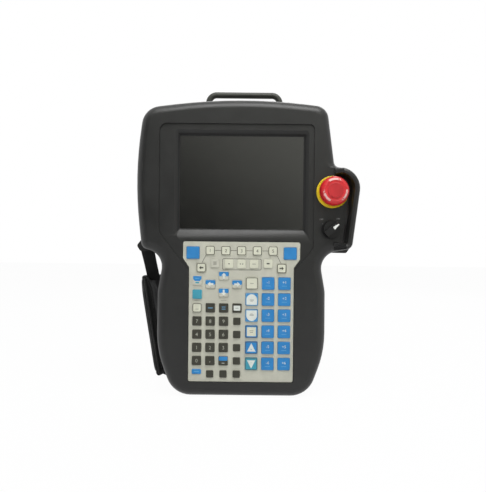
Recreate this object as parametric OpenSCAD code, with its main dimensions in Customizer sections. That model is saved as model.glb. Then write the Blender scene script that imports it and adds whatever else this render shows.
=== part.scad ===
// Hand-held teach pendant for an industrial robot: a moulded two-piece case
// with a screen, a keypad, a guarded emergency stop, an enable knob, two
// enabling levers at the back, a hanger, a hand strap and a cable receptacle.
// Millimetres. The pendant stands on its flat end, its face looks along -Y,
// and the parting plane of the case is Y = 0. Front outlines are [x, z].

/* [Case] */
// Height of the crown line above the screen's centre
crown_rise = 93; // [90:0.2:97]
// Width of the lower half, across the flanks
lower_w = 179.8; // [177:0.2:186]
// Width of the case to the left of the screen
left_side = 50.4; // [48:0.2:54]
// Width of the case to the right of the screen, at the top corner
right_side = 24.5; // [23:0.1:27]
// Width of the emergency-stop guard beyond the top corner
guard_side = 34; // [33:0.1:36]
// Height of the waist below the key sheet's top edge
waist_drop = 13.8; // [12:0.2:16]
// Depth of the front housing, from the parting plane to its face
front_depth = 24; // [23:0.5:27]
// Depth of the rear housing behind the parting plane
rear_depth = 28; // [27:0.5:32]
// Wall thickness of both housings
wall = 3; // [2.5:0.1:3.4]
// Radius that rolls the face over into the sides
rim_round = 11; // [9:0.5:11.5]
// Height of the guard lip above the face
guard_rise = 14; // [10:0.5:17]
// Thickness of the guard lip
guard_lip = 6.4; // [5:0.2:7]
// Depth of the recess that holds the screen and the keys
panel_recess = 1.5; // [1:0.1:2]

/* [Screen] */
// Visible width of the screen
screen_w = 131.6; // [124:0.2:134]
// Visible height of the screen
screen_h = 99.4; // [94:0.2:101]
// Gap between the screen and the key sheet below it
screen_gap = 13.4; // [12.4:0.1:15]
// Depth of the bevel around the screen
bevel_depth = 4.6; // [3.5:0.1:5]
// Thickness of the clear window
window_t = 2; // [1.5:0.1:2.5]
// Thickness of the display module
module_t = 8; // [7:0.5:9]

/* [Keypad] */
// Width of the key sheet at its top
sheet_w = 123.8; // [122:0.2:126]
// Width of the key sheet between its number and jog keys
sheet_low_w = 110.8; // [109:0.2:113]
// Height of the key rows above the jog keys, up to the sheet's top edge
sheet_head = 43.7; // [43:0.1:45]
// Bottom edge of the key sheet
sheet_bottom = 16.3; // [15.4:0.1:17]
// Thickness of the key sheet
sheet_t = 1.6; // [1.4:0.1:1.8]
// Side of a jog key
jog_key = 12.9; // [11:0.1:13.2]
// Gap between jog keys that lie above each other
jog_gap = 4.1; // [3.6:0.1:4.6]
// Side of a number key
number_key = 10; // [8.6:0.1:10.2]
// Side of a small dark key
small_key = 7.9; // [6.5:0.1:8.6]
// Height of a key above the sheet
key_rise = 1.1; // [0.9:0.1:1.6]
// Travel of a key
key_travel = 0.8; // [0.5:0.1:0.9]

/* [Emergency stop] */
// Height of the emergency stop's axis above the waist
estop_rise = 67.2; // [66:0.1:69]
// Distance of its axis from the guard's outermost point
estop_inset = 29.3; // [28.5:0.1:30]
// Diameter of the mushroom cap
estop_cap_d = 30.4; // [28:0.1:32]
// Diameter of the yellow collar
estop_collar_d = 33.8; // [32:0.1:35]
// Diameter of the hole in the panel
estop_hole_d = 22.4; // [22:0.1:24]
// Diameter of the stem
estop_stem_d = 12; // [11:0.1:13]
// Travel of the push
estop_travel = 4; // [3:0.1:4.5]

/* [Enable knob] */
// Distance of the enable knob's axis below the emergency stop's
knob_drop = 39.6; // [38:0.1:41]
// Distance of its axis to the left of the emergency stop's
knob_shift = 1.2; // [0:0.1:2]
// Diameter of the knob
knob_d = 17.6; // [16:0.1:18.4]
// Height of the knob
knob_h = 11.5; // [9:0.5:13]
// Direction of the pointer at rest, clockwise from straight up
knob_angle = 50; // [40:1:60]

/* [Enabling levers] */
// Distance of each lever from the centre line
lever_x = 47; // [46:0.2:48]
// Width of a lever
lever_w = 20; // [18:0.2:20.6]
// Height of the hinge above the flat end
lever_top = 149; // [147:0.5:150]
// Length from the hinge to the free end
lever_len = 85; // [80:1:88]
// Height of a lever above the back
lever_rise = 9.5; // [8:0.5:11]
// Diameter of the hinge pins
lever_pin_d = 3; // [2.5:0.1:3.4]

/* [Back] */
// Width of the raised spine
spine_w = 64; // [58:0.5:66]
// Lower end of the spine
spine_bottom = 40; // [36:0.5:44]
// Upper end of the spine
spine_top = 172; // [165:0.5:180]
// Height of the spine above the back
spine_rise = 26; // [25:0.5:28]
// Diameter of the cable receptacle's shell
receptacle_d = 17; // [15:0.1:18]
// Length of the receptacle's shell below the spine
receptacle_len = 15; // [12:0.5:18]

/* [Hanger] */
// Overall width of the hanger
hanger_w = 88.6; // [80:0.2:94]
// Height of the hanger's top above the crown line
hanger_rise = 17.2; // [15:0.2:20]
// Diameter of the hanger's bar
hanger_d = 7; // [6:0.1:8]

/* [Hand strap] */
// Width of the webbing
webbing_w = 14; // [12:0.2:14.4]
// Thickness of one layer of webbing
webbing_t = 1.6; // [1.2:0.1:1.8]
// Thickness of the hand pad
pad_t = 11.5; // [9:0.1:12]
// Width of the hand pad
pad_w = 48; // [42:0.5:52]
// Upper end of the hand pad
pad_top = 127; // [124:0.5:130]
// Lower end of the hand pad
pad_bottom = 12.5; // [11.5:0.5:14]

/* [Hidden] */
$fn = 40;
cut = 0.5;             // how far a cutting tool passes a face
spread = 300;          // half size of a block that trims a whole side
face_over = 0.1;       // how far a loft runs past a flat face before it is trimmed
gap = 0.3;             // room between pieces that move past each other
running = 0.05;        // radial room of a pin or stem in its bore
fit = 0.02;            // radial room of a pin that stays where it is
case_grey = [0.20, 0.20, 0.20];
sheet_grey = [0.75, 0.75, 0.70];
key_blue = [0.16, 0.48, 0.74];
key_beige = [0.80, 0.79, 0.72];

// Heights, from the flat end up
jog_pitch = jog_key + jog_gap;
jog_bottom = sheet_bottom + 19.3;
jog_top = jog_bottom + 5 * jog_pitch;
sheet_top = jog_top + sheet_head;
waist_z = sheet_top - waist_drop;
estop_z = waist_z + estop_rise;
knob_z = estop_z - knob_drop;
screen_z = sheet_top + screen_gap + screen_h / 2;
case_h = screen_z + crown_rise;

// Widths, from the centre line outwards
left_reach = screen_w / 2 + left_side;
right_reach = screen_w / 2 + right_side;
guard_reach = right_reach + guard_side;
estop_x = guard_reach - estop_inset;
knob_x = estop_x - knob_shift;

// Depths, all measured from the parting plane
face_y = -front_depth;
panel_y = face_y + panel_recess;
sheet_back = panel_y + sheet_t;
floor_y = face_y + 5;
window_y = panel_y + bevel_depth + 0.4;
module_y = window_y + window_t;
bracket_y = module_y + module_t;
bracket_t = 1.5;
board_t = 1.6;
main_board_y = bracket_y + bracket_t + 6;
roll_y = -(front_depth - rim_round);
rear_roll = 10;
rear_flat = rear_depth - rear_roll;
guard_top_y = face_y - guard_rise;

// Outline of the case: [x, z, corner radius, steps along the corner]
flank = lower_w / 2;
foot_x = flank - 18;
knee_z = 47.5;
hip_z = waist_z - 38.5;
waist_x = flank - 7;
lap_right = guard_reach - 10;
lap_left = left_reach - 8.9;
shoulder_z = case_h - 10.4;
side_slope = 0.131;
notch_z = estop_z + 26.7;
notch_x = right_reach + (shoulder_z - notch_z) * side_slope;
belly_z = screen_z + 6.3;
case_outline = [
    [foot_x, 0, 27, 8],
    [flank, knee_z, 110, 5],
    [flank - 0.2, hip_z, 40, 4],
    [waist_x, waist_z, 18.5, 10],
    [lap_right, waist_z + 8.2, 8, 6],
    [guard_reach, estop_z + 19, 22, 8],
    [notch_x, notch_z, 11, 7],
    [right_reach, shoulder_z, 15, 8],
    [-2, case_h, 590, 8],
    [-(left_reach - 10.2), shoulder_z - 3, 21, 8],
    [-left_reach, belly_z, 411, 8],
    [-lap_left, waist_z + 6.4, 8, 6],
    [-waist_x, waist_z, 18.5, 10],
    [-(flank - 0.2), hip_z, 40, 4],
    [-flank, knee_z, 110, 5],
    [-foot_x, 0, 27, 8]];

// Outline of the flat back, corner for corner with the case
back_flank = flank - 20;
back_outline = [
    [foot_x - 14, 7, 18, 8],
    [back_flank, knee_z, 110, 5],
    [back_flank, hip_z, 40, 4],
    [waist_x - 15, waist_z + 8, 24, 10],
    [lap_right - 16, waist_z + 16, 6, 6],
    [guard_reach - 18, estop_z + 9, 16, 8],
    [notch_x - 15, notch_z - 5, 12, 7],
    [right_reach - 12, shoulder_z - 10, 12, 8],
    [-2, case_h - 12, 500, 8],
    [-(left_reach - 24), shoulder_z - 13, 16, 8],
    [-(left_reach - 16), belly_z, 380, 8],
    [-(lap_left - 13), waist_z + 15, 6, 6],
    [-(waist_x - 15), waist_z + 8, 24, 10],
    [-back_flank, hip_z, 40, 4],
    [-back_flank, knee_z, 110, 5],
    [-(foot_x - 14), 7, 18, 8]];

// The recessed panel around the screen and the key sheet
screen_x = -0.7;
panel_left = screen_w / 2 + 22.2;
panel_right = screen_w / 2 + 10.2;
panel_top = screen_z + screen_h / 2 + 12.2;
sheet_half = sheet_w / 2;
sheet_low_half = sheet_low_w / 2;
sheet_step = sheet_top - 17.8;
sheet_neck = sheet_top - 27.1;
sheet_room = 0.5;
sheet_outline = [
    [sheet_low_half, sheet_bottom, 2, 4],
    [sheet_low_half, sheet_neck, 1, 2],
    [sheet_half, sheet_step, 1, 2],
    [sheet_half, sheet_top, 2, 4],
    [-sheet_half, sheet_top, 2, 4],
    [-sheet_half, sheet_step, 1, 2],
    [-sheet_low_half, sheet_neck, 1, 2],
    [-sheet_low_half, sheet_bottom, 2, 4]];
panel_outline = [
    [sheet_low_half + 1, sheet_neck - 3, 3, 4],
    [panel_right, sheet_top - 6.3, 10, 5],
    [panel_right, panel_top, 5, 5],
    [-panel_left, panel_top, 8, 5],
    [-panel_left, sheet_top + 9.7, 10, 5],
    [-sheet_low_half - 1, sheet_neck - 3, 3, 4]];

// Screen opening and the bevel that leads to it
bevel_side = 5.3;
bevel_foot = 7.6;
bevel_head = 5.7;

// Screws that hold the two housings together, [x, z]
case_screws = [
    [16.9 - flank, 30], [flank - 16.9, 30], [15.9 - flank, hip_z - 6], [flank - 15.9, hip_z - 6],
    [-(left_reach - 19.2), waist_z + 25.5], [lap_right - 6.3, waist_z + 15.5],
    [-(left_reach - 19.2), shoulder_z - 25], [right_reach - 10.3, shoulder_z - 18]];
screw_d = 3.9;
screw_head_d = 7;
screw_seat_y = 14;
screw_len = 25;
boss_d = 9;
post_d = 12;

// Screws of the screen bracket and of the keypad board, [x, z]
bracket_screw_x = screen_w / 2 + 14.2;
bracket_screw_z = screen_h / 2 - 2.2;
bracket_screws = [for (x = [-1, 1], z = [-1, 1])
    [screen_x + x * bracket_screw_x, screen_z + z * bracket_screw_z]];
post_x = screen_w / 2 + 0.2;
post_z = screen_h / 2 - 9.7;
bracket_posts = [for (x = [-1, 1], z = [-1, 1]) [screen_x + x * post_x, screen_z + z * post_z]];
board_screw_x = sheet_w / 2 - 3.3;
board_screws = [for (x = [-1, 1], z = [sheet_bottom + 13.7, sheet_bottom + 63.7, sheet_top - 38.3])
    [x * board_screw_x, z]];
small_screw_d = 2.4;
small_head_d = 4.6;

// Keys. Every entry is [name, x, z, width, height]
jog_x = 28.4;
jog_pitch_x = jog_key + 4.3;
number_x = -46.5;
number_pitch = number_key + 4.05;
number_step = number_key + 3.94;
number_top = sheet_bottom + 78;
arrow_x = -18.5;
arrow_z = jog_top - 0.9;
moving_keys = concat(
    [for (side = [-1, 1]) [side < 0 ? "key_shift_left" : "key_shift_right",
        side * (sheet_half - 10.5), sheet_top - 11.8, 13.5, 12.7]],
    [["key_previous", -42.5, sheet_top - 27.6, number_key, number_key],
     ["key_next", 42.5, sheet_top - 27.6, number_key, number_key],
     ["key_arrow_up", arrow_x, arrow_z + 8.9, number_key, 9.4],
     ["key_arrow_left", arrow_x - 14.1, arrow_z, number_key, 9.4],
     ["key_arrow_right", arrow_x + 14.1, arrow_z, number_key, 9.4],
     ["key_arrow_down", arrow_x, arrow_z - 8.9, number_key, 9.4]],
    [for (row = [1 : 6]) [str("key_run_", row),
        jog_x - jog_pitch_x, jog_top - (row - 1) * jog_pitch, jog_key, jog_key]],
    [for (row = [1 : 6]) [str("key_jog_minus_", row),
        jog_x, jog_top - (row - 1) * jog_pitch, jog_key, jog_key]],
    [for (row = [1 : 6]) [str("key_jog_plus_", row),
        jog_x + jog_pitch_x, jog_top - (row - 1) * jog_pitch, jog_key, jog_key]]);

// Keys moulded in one piece with the sheet, [x, z, width, height]
function number_spot(column, row) = [number_x + column * number_pitch,
    number_top - row * number_step];
sheet_keys = concat(
    [for (i = [-2 : 2]) [i * 16.6, sheet_top - 9.3, number_key, number_key]],
    [for (i = [-1 : 1]) [i * 13.2, sheet_top - 23.3, 9, 9]],
    [for (side = [-1, 1]) [side * 28.1, sheet_top - 22.7, 9, 9]],
    [for (z = [2.8, -12]) [number_x, jog_top + z, number_key, number_key]],
    [for (column = [0 : 3]) [number_spot(column, 0)[0], number_top, number_key, number_key]],
    [for (column = [0 : 2], row = [1 : 4])
        [number_spot(column, row)[0], number_spot(column, row)[1], number_key, number_key]],
    [for (row = [1 : 4])
        [number_spot(3, row)[0], number_spot(3, row)[1], small_key, small_key]],
    [for (column = [1 : 3])
        [number_spot(column, 5)[0], number_spot(column, 5)[1], small_key, small_key]],
    [[number_x, number_spot(0, 5)[1] + 2.4, number_key, 5.3]]);
key_round = 1.2;
key_lip = 0.8;
key_lip_t = 0.8;
key_lip_y = sheet_back + gap;
mat_t = 1.5;
mat_y = key_lip_y + key_lip_t + key_travel + gap;
keypad_board_y = mat_y + mat_t;

// Emergency stop
collar_t = 3.6;
cap_edge_y = face_y - collar_t - estop_travel - 0.6;
cap_h = 14;
stem_back_y = face_y + 15;
nut_y = floor_y;
nut_t = 4;
nut_d = estop_hole_d + 5.2;
block_y = nut_y + nut_t + 2;
block_w = 30;
block_t = 22;

// Enable knob
knob_ring_t = 1.2;
knob_y = face_y - knob_ring_t - gap;
knob_shaft_d = 6;
knob_body_d = 18;
knob_body_t = 16;

// Enabling levers
lever_pin_y = rear_depth - 7;
lever_back_y = rear_depth - 8;
lever_out_y = rear_depth + lever_rise;
lever_side = 0.4;
lever_travel = 3.4;
plunger_z = lever_top - 69;
plunger_d = 5;
plunger_y = lever_back_y - gap;
switch_y = 14;
ear_t = 3.2;

// Spine, receptacle, hanger
spine_y = rear_depth + spine_rise;
spine_round = 6;
receptacle_y = rear_depth + 14;
receptacle_flange_d = receptacle_d + 3;
receptacle_flange_t = 2;
hanger_x = 1.2;
hanger_y = rear_depth + hanger_d / 2 + 0.1;
hanger_top = case_h + hanger_rise;
hanger_bend = 9;
hanger_foot_z = case_h - 42;
hanger_foot_h = 20;
hanger_foot_w = 12;
hanger_foot_t = 3.4;

// Strap anchors and the strap
bar_d = 4;
bar_y = 12;
bar_z = waist_z + 6.3;
pocket_w = webbing_w + 1;
lug_wall = 2.4;
left_tip = lap_left + 8.6;
right_tip = lap_right + 5;
low_bar_x = foot_x + 1.6;
low_bar_z = 10.5;
low_strap_y = 20;
webbing_x = left_tip - lug_wall - 0.5 - webbing_w / 2;
loop_in = bar_d / 2 + 0.15;
loop_out = loop_in + webbing_t;

// ---- Outlines and lofts ----

function unit(v) = v / norm(v);
function left_of(v) = [-v[1], v[0]];
function turn(a, b) = atan2(a[0] * b[1] - a[1] * b[0], a * b);
function lerp(a, b, t) = a * (1 - t) + b * t;
function spot(p, i) = [p[i][0], p[i][1]];
function heading(p, i) = unit(spot(p, (i + 1) % len(p)) - spot(p, i));
function before(p, i) = heading(p, (i + len(p) - 1) % len(p));
function smooth(t) = let (u = min(max(t, 0), 1)) u * u * (3 - 2 * u);

// An outline moved inwards by d; the corner radii follow
function inset(p, d) = [for (i = [0 : len(p) - 1])
    let (a = left_of(before(p, i)),
         b = left_of(heading(p, i)),
         bend = sign(turn(before(p, i), heading(p, i))),
         q = spot(p, i) + (a + b) * d / (1 + a * b),
         r = p[i][2] - (bend < 0 ? -0.8 : 1) * d)
    [q[0], q[1], max(r, 1), p[i][3]]];

// The points of an outline, with its corners drawn as arcs
function rounded(p) = [for (i = [0 : len(p) - 1])
    let (a = before(p, i),
         bend = turn(a, heading(p, i)),
         r = p[i][2],
         start = spot(p, i) - a * r * tan(abs(bend) / 2),
         arm = -left_of(a) * r * sign(bend))
    for (k = [0 : p[i][3]])
        let (w = bend * k / p[i][3])
        start - arm + [arm[0] * cos(w) - arm[1] * sin(w), arm[0] * sin(w) + arm[1] * cos(w)]];

// The four corners of a rectangle as an outline
function box_outline(x, z, w, h, r) = [
    [x + w / 2, z - h / 2, r, 4], [x + w / 2, z + h / 2, r, 4],
    [x - w / 2, z + h / 2, r, 4], [x - w / 2, z - h / 2, r, 4]];

// A closed skin over rings of 3D points, listed from +Y to -Y or from -Z to +Z
module skin(rings) {
    n = len(rings[0]);
    m = len(rings);
    points = [for (ring = rings) for (p = ring) p];
    sides = [for (j = [0 : m - 2], i = [0 : n - 1])
        let (k = (i + 1) % n, a = j * n, b = (j + 1) * n)
        for (face = [[a + i, b + k, a + k], [a + i, b + i, b + k]]) face];
    first = [for (i = [0 : n - 1]) i];
    last = [for (i = [0 : n - 1]) m * n - 1 - i];
    polyhedron(points, concat([first], sides, [last]), convexity = 10);
}

// A front outline pushed through the depth from y0 to y1
module slab(y0, y1) {
    translate([0, y1, 0]) rotate([90, 0, 0]) linear_extrude(y1 - y0) children();
}

module plate(outline, y0, y1) {
    slab(y0, y1) polygon(rounded(outline));
}

// A cylinder along the depth
module drill(p, d, y0, y1) {
    translate([p[0], y1, p[1]]) rotate([90, 0, 0]) cylinder(h = y1 - y0, d = d);
}

// A profile [y, z] pushed across from x0 to x1
module across(x0, x1) {
    translate([x0, 0, 0]) rotate([90, 0, 90]) linear_extrude(x1 - x0) children();
}

module mirrored() {
    children();
    mirror([1, 0, 0]) children();
}

// ---- Case ----

// Section of the rim: [inset, depth] from the parting plane to the face
roll_steps = 6;
rim_section = concat([[0, 0]],
    [for (k = [0 : roll_steps]) let (a = 90 * k / roll_steps)
        [rim_round * (1 - cos(a)), roll_y - (rim_round + face_over) * sin(a)]],
    [for (k = [1 : 3]) [rim_round + 0.4 * k, face_y - face_over]]);

// Section of the guard, point for point with the rim
lip_r = guard_lip / 2;
guard_section = concat([[0, 0], [0, face_y + 4]],
    [for (k = [0 : 4]) let (a = 45 * k)
        [lip_r * (1 - cos(a)), guard_top_y + lip_r * (1 - sin(a))]],
    [[guard_lip + 0.4, (guard_top_y + face_y) / 2],
     [guard_lip + 1.1, face_y - 1.9],
     [guard_lip + 2.6, face_y - 0.4],
     [rim_round + 1.2, face_y - face_over]]);

// The guard rises where the outline runs out beyond the body's right side
function rise_at(p) = smooth((p[0] - notch_x + 1) / 9);

// The loft runs past the parting plane and the face, and flat cuts bring it back
module front_form() {
    base = rounded(case_outline);
    difference() {
        skin([for (j = [0 : len(rim_section) - 1])
            let (rim = rounded(inset(case_outline, rim_section[j][0])),
                 lip = rounded(inset(case_outline, guard_section[j][0])),
                 over = j == 0 ? wall : 0)
            [for (i = [0 : len(base) - 1])
                let (g = rise_at(base[i]), p = lerp(rim[i], lip[i], g))
                [p[0], over + lerp(rim_section[j][1], guard_section[j][1], g), p[1]]]]);
        translate([-spread, 0, -spread]) cube([2 * spread, spread, 3 * spread]);
        slab(-spread, face_y) union() {
            translate([-spread, -spread]) square([spread + notch_x - 1.5, 3 * spread]);
            polygon(rounded(inset(case_outline, rim_round + 1.6)));
            translate([estop_x, estop_z]) circle(d = estop_collar_d + 1);
        }
    }
}

module rear_form() {
    outer = rounded(case_outline);
    inner = rounded(back_outline);
    section = concat(
        [for (k = [6 : -1 : 0])
            [1 - cos(15 * k), rear_flat + (rear_roll + face_over) * sin(15 * k)]],
        [[0, -wall]]);
    difference() {
        skin([for (s = section) [for (i = [0 : len(outer) - 1])
            let (p = lerp(outer[i], inner[i], s[0])) [p[0], s[1], p[1]]]]);
        for (y = [-spread, rear_depth]) translate([-spread, y, -spread])
            cube([2 * spread, spread, 3 * spread]);
    }
}

// Round pillars left standing in a cavity, as holes in its plan
module pillars(d) {
    for (p = case_screws) translate(p) circle(d = d);
}

module front_cavity() {
    slab(roll_y, cut) difference() {
        polygon(rounded(inset(case_outline, wall)));
        pillars(boss_d);
    }
    slab(floor_y, roll_y + cut) difference() {
        polygon(rounded(inset(case_outline, rim_round + 1.5)));
        pillars(boss_d + 1);
    }
}

module front_bosses() {
    for (p = bracket_screws) drill(p, boss_d - 2, floor_y - 1, bracket_y);
    for (p = board_screws) drill(p, boss_d - 3.4, floor_y - 1, keypad_board_y);
    plate(box_outline(screen_x, screen_z, screen_w + 15, screen_h + 15, 3), floor_y - 1, window_y);
}

// Sloping sides from the panel down to the screen
module bevel() {
    lift = (bevel_head - bevel_foot) / 2;
    rim = box_outline(screen_x, screen_z + lift,
        screen_w + 2 * bevel_side, screen_h + bevel_foot + bevel_head, 3);
    well = box_outline(screen_x, screen_z, screen_w, screen_h, 1);
    slope = cut / bevel_depth;
    low = rounded(well);
    high = rounded(rim);
    skin([for (t = [0, 1 + slope]) [for (i = [0 : len(low) - 1])
        let (p = lerp(low[i], high[i], t)) [p[0], lerp(panel_y + bevel_depth, panel_y, t), p[1]]]]);
}

module front_housing() {
    color(case_grey) difference() {
        union() {
            difference() {
                front_form();
                front_cavity();
            }
            front_bosses();
        }
        plate(panel_outline, face_y - cut, panel_y);
        plate(inset(sheet_outline, -sheet_room), face_y - cut, sheet_back);
        plate(inset(sheet_outline, 1.6), sheet_back - cut, floor_y + cut);
        bevel();
        plate(box_outline(screen_x, screen_z, screen_w, screen_h, 1), panel_y, window_y + cut);
        drill([estop_x, estop_z], estop_hole_d, face_y - cut, floor_y + cut);
        drill([knob_x, knob_z], 10, face_y - cut, floor_y + cut);
        for (p = case_screws) drill(p, screw_d + 0.1, screw_seat_y - screw_len - 1, cut);
        for (p = bracket_screws) drill(p, small_screw_d + 0.1, bracket_y - 8, bracket_y + cut);
        for (p = board_screws) drill(p, small_screw_d + 0.1, floor_y - 3, keypad_board_y + cut);
    }
}

// ---- Rear housing ----

module spine_form(grow, top_y) {
    outline = box_outline(0, (spine_top + spine_bottom) / 2,
        spine_w + 2 * grow, spine_top - spine_bottom + 2 * grow, 14 + grow);
    skin([for (k = [4 : -1 : -1])
        let (a = 22.5 * max(k, 0),
             ring = rounded(inset(outline, spine_round * (1 - cos(a)))),
             y = k < 0 ? rear_depth - 8 : top_y - spine_round * (1 - sin(a)))
        [for (p = ring) [p[0], y, p[1]]]]);
}

module lug(tip, root) {
    plate([[root, waist_z + 17, 1, 2], [root + 3, waist_z + 3, 2, 3], [tip - 4, waist_z + 2.8, 3, 4],
        [tip, waist_z + 9, 3, 5], [tip - 7, waist_z + 18, 4, 4]], 2, 20);
}

module lug_pocket(tip) {
    translate([tip - lug_wall - pocket_w, 6, waist_z + 1]) cube([pocket_w, 16, 11.2]);
}

module lug_bar(tip) {
    translate([tip - lug_wall - pocket_w - 1, bar_y, bar_z]) rotate([0, 90, 0])
        cylinder(h = pocket_w + 2, d = bar_d);
}

module low_lug() {
    plate([[foot_x - 14, low_bar_z + 12, 2, 3], [foot_x - 16, low_bar_z - 4, 2, 3],
        [low_bar_x + 1, low_bar_z - 5, 3, 4], [low_bar_x + 5, low_bar_z - 3, 3, 4],
        [low_bar_x + 3, low_bar_z + 5, 3, 4]], 16, low_strap_y + pocket_w + 3);
}

module low_pocket() {
    translate([low_bar_x - 7, low_strap_y - 0.5, 0]) cube([20, pocket_w, 30]);
}

module rear_posts() {
    for (p = case_screws) drill(p, post_d, -2 * cut, rear_depth);
    mirrored() {
        for (x = [lever_x - lever_w / 2 - lever_side - ear_t, lever_x + lever_w / 2 + lever_side])
            translate([x, lever_pin_y - 4.5, lever_top - 4.5]) cube([ear_t, 12, 9]);
        for (x = [-13.5, 13.5]) drill([lever_x + x, plunger_z], 6, switch_y, rear_depth);
    }
    for (p = hanger_holes) drill(p, small_screw_d + 5, rear_depth - 10, rear_depth);
    for (x = [lap_right - 19.3, -lap_left - 8]) translate([x, -2 * cut, waist_z]) cube([25, 23, 20]);
}

module rear_cavity() {
    plate(inset(case_outline, wall), -cut, rear_flat - 1);
    plate(inset(back_outline, wall), rear_flat - 2, rear_depth - wall);
}

module rear_housing() {
    color(case_grey) difference() {
        union() {
            difference() {
                union() {
                    rear_form();
                    spine_form(0, spine_y);
                    lug(right_tip, lap_right - 19.3);
                    mirror([1, 0, 0]) lug(left_tip, lap_left - 12.3);
                    mirrored() low_lug();
                }
                lug_pocket(right_tip);
                mirror([1, 0, 0]) lug_pocket(left_tip);
                mirrored() low_pocket();
            }
            lug_bar(right_tip);
            mirror([1, 0, 0]) lug_bar(left_tip);
            mirrored() drill([low_bar_x, low_bar_z], bar_d, low_strap_y - 1, low_strap_y + pocket_w);
        }
        difference() {
            rear_cavity();
            rear_posts();
        }
        translate([-spine_w / 2 + wall, rear_depth - 8, spine_bottom + wall])
            cube([spine_w - 2 * wall, spine_rise + 8 - wall, spine_top - spine_bottom - 2 * wall]);
        seal_ring(0.05, 1.6, -cut);
        for (p = case_screws) {
            drill(p, screw_d + 0.5, -cut, screw_seat_y + cut);
            drill(p, screw_head_d + 1.2, screw_seat_y, rear_depth + cut);
        }
        mirrored() {
            translate([lever_x - lever_w / 2 - lever_side, rear_depth - wall - cut, lever_top - lever_len - 1.8])
                cube([lever_w + 2 * lever_side, wall + 2 * cut, lever_len + 8.4]);
            translate([lever_x - 16, lever_pin_y, lever_top]) rotate([0, 90, 0])
                cylinder(h = 32, d = lever_pin_d + 2 * fit);
            for (x = [-13.5, 13.5])
                drill([lever_x + x, plunger_z], small_screw_d + 0.1, switch_y - cut, switch_y + 7);
        }
        translate([0, receptacle_y, spine_bottom - cut])
            cylinder(h = wall + 2 * cut, d = receptacle_d + 0.2);
        for (p = hanger_holes) drill(p, small_screw_d + 0.1, rear_depth - 8, rear_depth + cut);
    }
}

// Ring in the parting plane; room is added all round for its groove
module seal_ring(room, depth, start) {
    difference() {
        plate(inset(case_outline, 0.9 - room), start, depth + room);
        plate(inset(case_outline, 2.1 + room), start - cut, depth + room + cut);
    }
}

module housing_seal() {
    color([0.08, 0.08, 0.08]) seal_ring(0, 1.6, 0);
}

module housing_screws() {
    color([0.55, 0.55, 0.57]) for (p = case_screws) difference() {
        union() {
            drill(p, screw_d, screw_seat_y - screw_len, screw_seat_y + 0.01);
            drill(p, screw_head_d, screw_seat_y, screw_seat_y + 3);
        }
        translate([p[0], screw_seat_y + 3 + cut, p[1]]) rotate([90, 0, 0])
            cylinder(h = 2 + cut, d = 3.4, $fn = 6);
    }
}

// ---- Screen ----

module display_window() {
    color([0.10, 0.10, 0.09, 0.6])
        plate(box_outline(screen_x, screen_z, screen_w + 11, screen_h + 11, 2), window_y, module_y);
}

module display_module() {
    color([0.35, 0.36, 0.38]) {
        plate(box_outline(screen_x, screen_z, screen_w + 18, screen_h + 13, 1), module_y, bracket_y);
    }
}

module display_bracket() {
    color([0.6, 0.6, 0.6]) difference() {
        union() {
            plate(box_outline(screen_x, screen_z, screen_w + 36.4, screen_h + 3, 4),
                bracket_y, bracket_y + bracket_t);
            for (p = bracket_posts) drill(p, 6, bracket_y, main_board_y);
        }
        plate(box_outline(screen_x, screen_z, screen_w - 35.6, screen_h - 39.4, 6),
            bracket_y - cut, bracket_y + bracket_t + cut);
        plate(box_outline(estop_x, estop_z, block_w + 2, block_w + 2, 2),
            bracket_y - cut, bracket_y + bracket_t + cut);
        for (p = bracket_screws)
            drill(p, small_screw_d + 0.4, bracket_y - cut, bracket_y + bracket_t + cut);
        for (p = bracket_posts) drill(p, small_screw_d + 0.1, main_board_y - 5, main_board_y + cut);
    }
}

module main_board() {
    color([0.05, 0.30, 0.16]) difference() {
        union() {
            plate(box_outline(screen_x, screen_z, screen_w + 12.4, screen_h - 7.4, 2),
                main_board_y, main_board_y + board_t);
            plate(box_outline(screen_x - 20, screen_z + 10, 34, 34, 1),
                main_board_y + board_t, main_board_y + 4);
            plate(box_outline(screen_x + 26, screen_z + 14, 24, 24, 1),
                main_board_y + board_t, main_board_y + 4);
            plate(box_outline(screen_x, screen_z - 36, 60, 8, 1),
                main_board_y + board_t, main_board_y + 8);
        }
        for (p = bracket_posts)
            drill(p, small_screw_d + 0.4, main_board_y - cut, main_board_y + board_t + cut);
    }
}

module small_screw(p, seat_y, reach) {
    drill(p, small_screw_d, seat_y - reach, seat_y + 0.01);
    drill(p, small_head_d, seat_y, seat_y + 1.6);
}

module inner_screws() {
    color([0.6, 0.6, 0.6]) {
        for (p = bracket_screws) small_screw(p, bracket_y + bracket_t, 8);
        for (p = board_screws) small_screw(p, keypad_board_y + board_t, 5);
        for (p = bracket_posts) small_screw(p, main_board_y + board_t, 6);
    }
}

// ---- Keypad ----

module key_cap(x, z, w, h, y0, y1) {
    plate(box_outline(x, z, w, h, key_round), y0, y1);
}

module key_sheet() {
    color(sheet_grey) difference() {
        union() {
            plate(sheet_outline, panel_y, sheet_back);
            for (k = sheet_keys) key_cap(k[0], k[1], k[2], k[3], panel_y - key_rise, panel_y + 0.2);
        }
        for (k = moving_keys)
            key_cap(k[1], k[2], k[3] + 2 * gap, k[4] + 2 * gap, panel_y - cut, sheet_back + cut);
    }
}

module key(k) {
    color(k[1] < -40 && k[2] > 140 ? key_blue : key_beige) {
        key_cap(k[1], k[2], k[3], k[4], panel_y - key_rise, key_lip_y + 0.01);
        key_cap(k[1], k[2], k[3] + 2 * key_lip, k[4] + 2 * key_lip, key_lip_y, key_lip_y + key_lip_t);
    }
}

module dome_mat() {
    color([0.70, 0.70, 0.66])
        plate(box_outline(0, (sheet_top + sheet_bottom) / 2, sheet_low_w - 4,
            sheet_top - sheet_bottom - 3, 2), mat_y, keypad_board_y);
}

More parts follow.
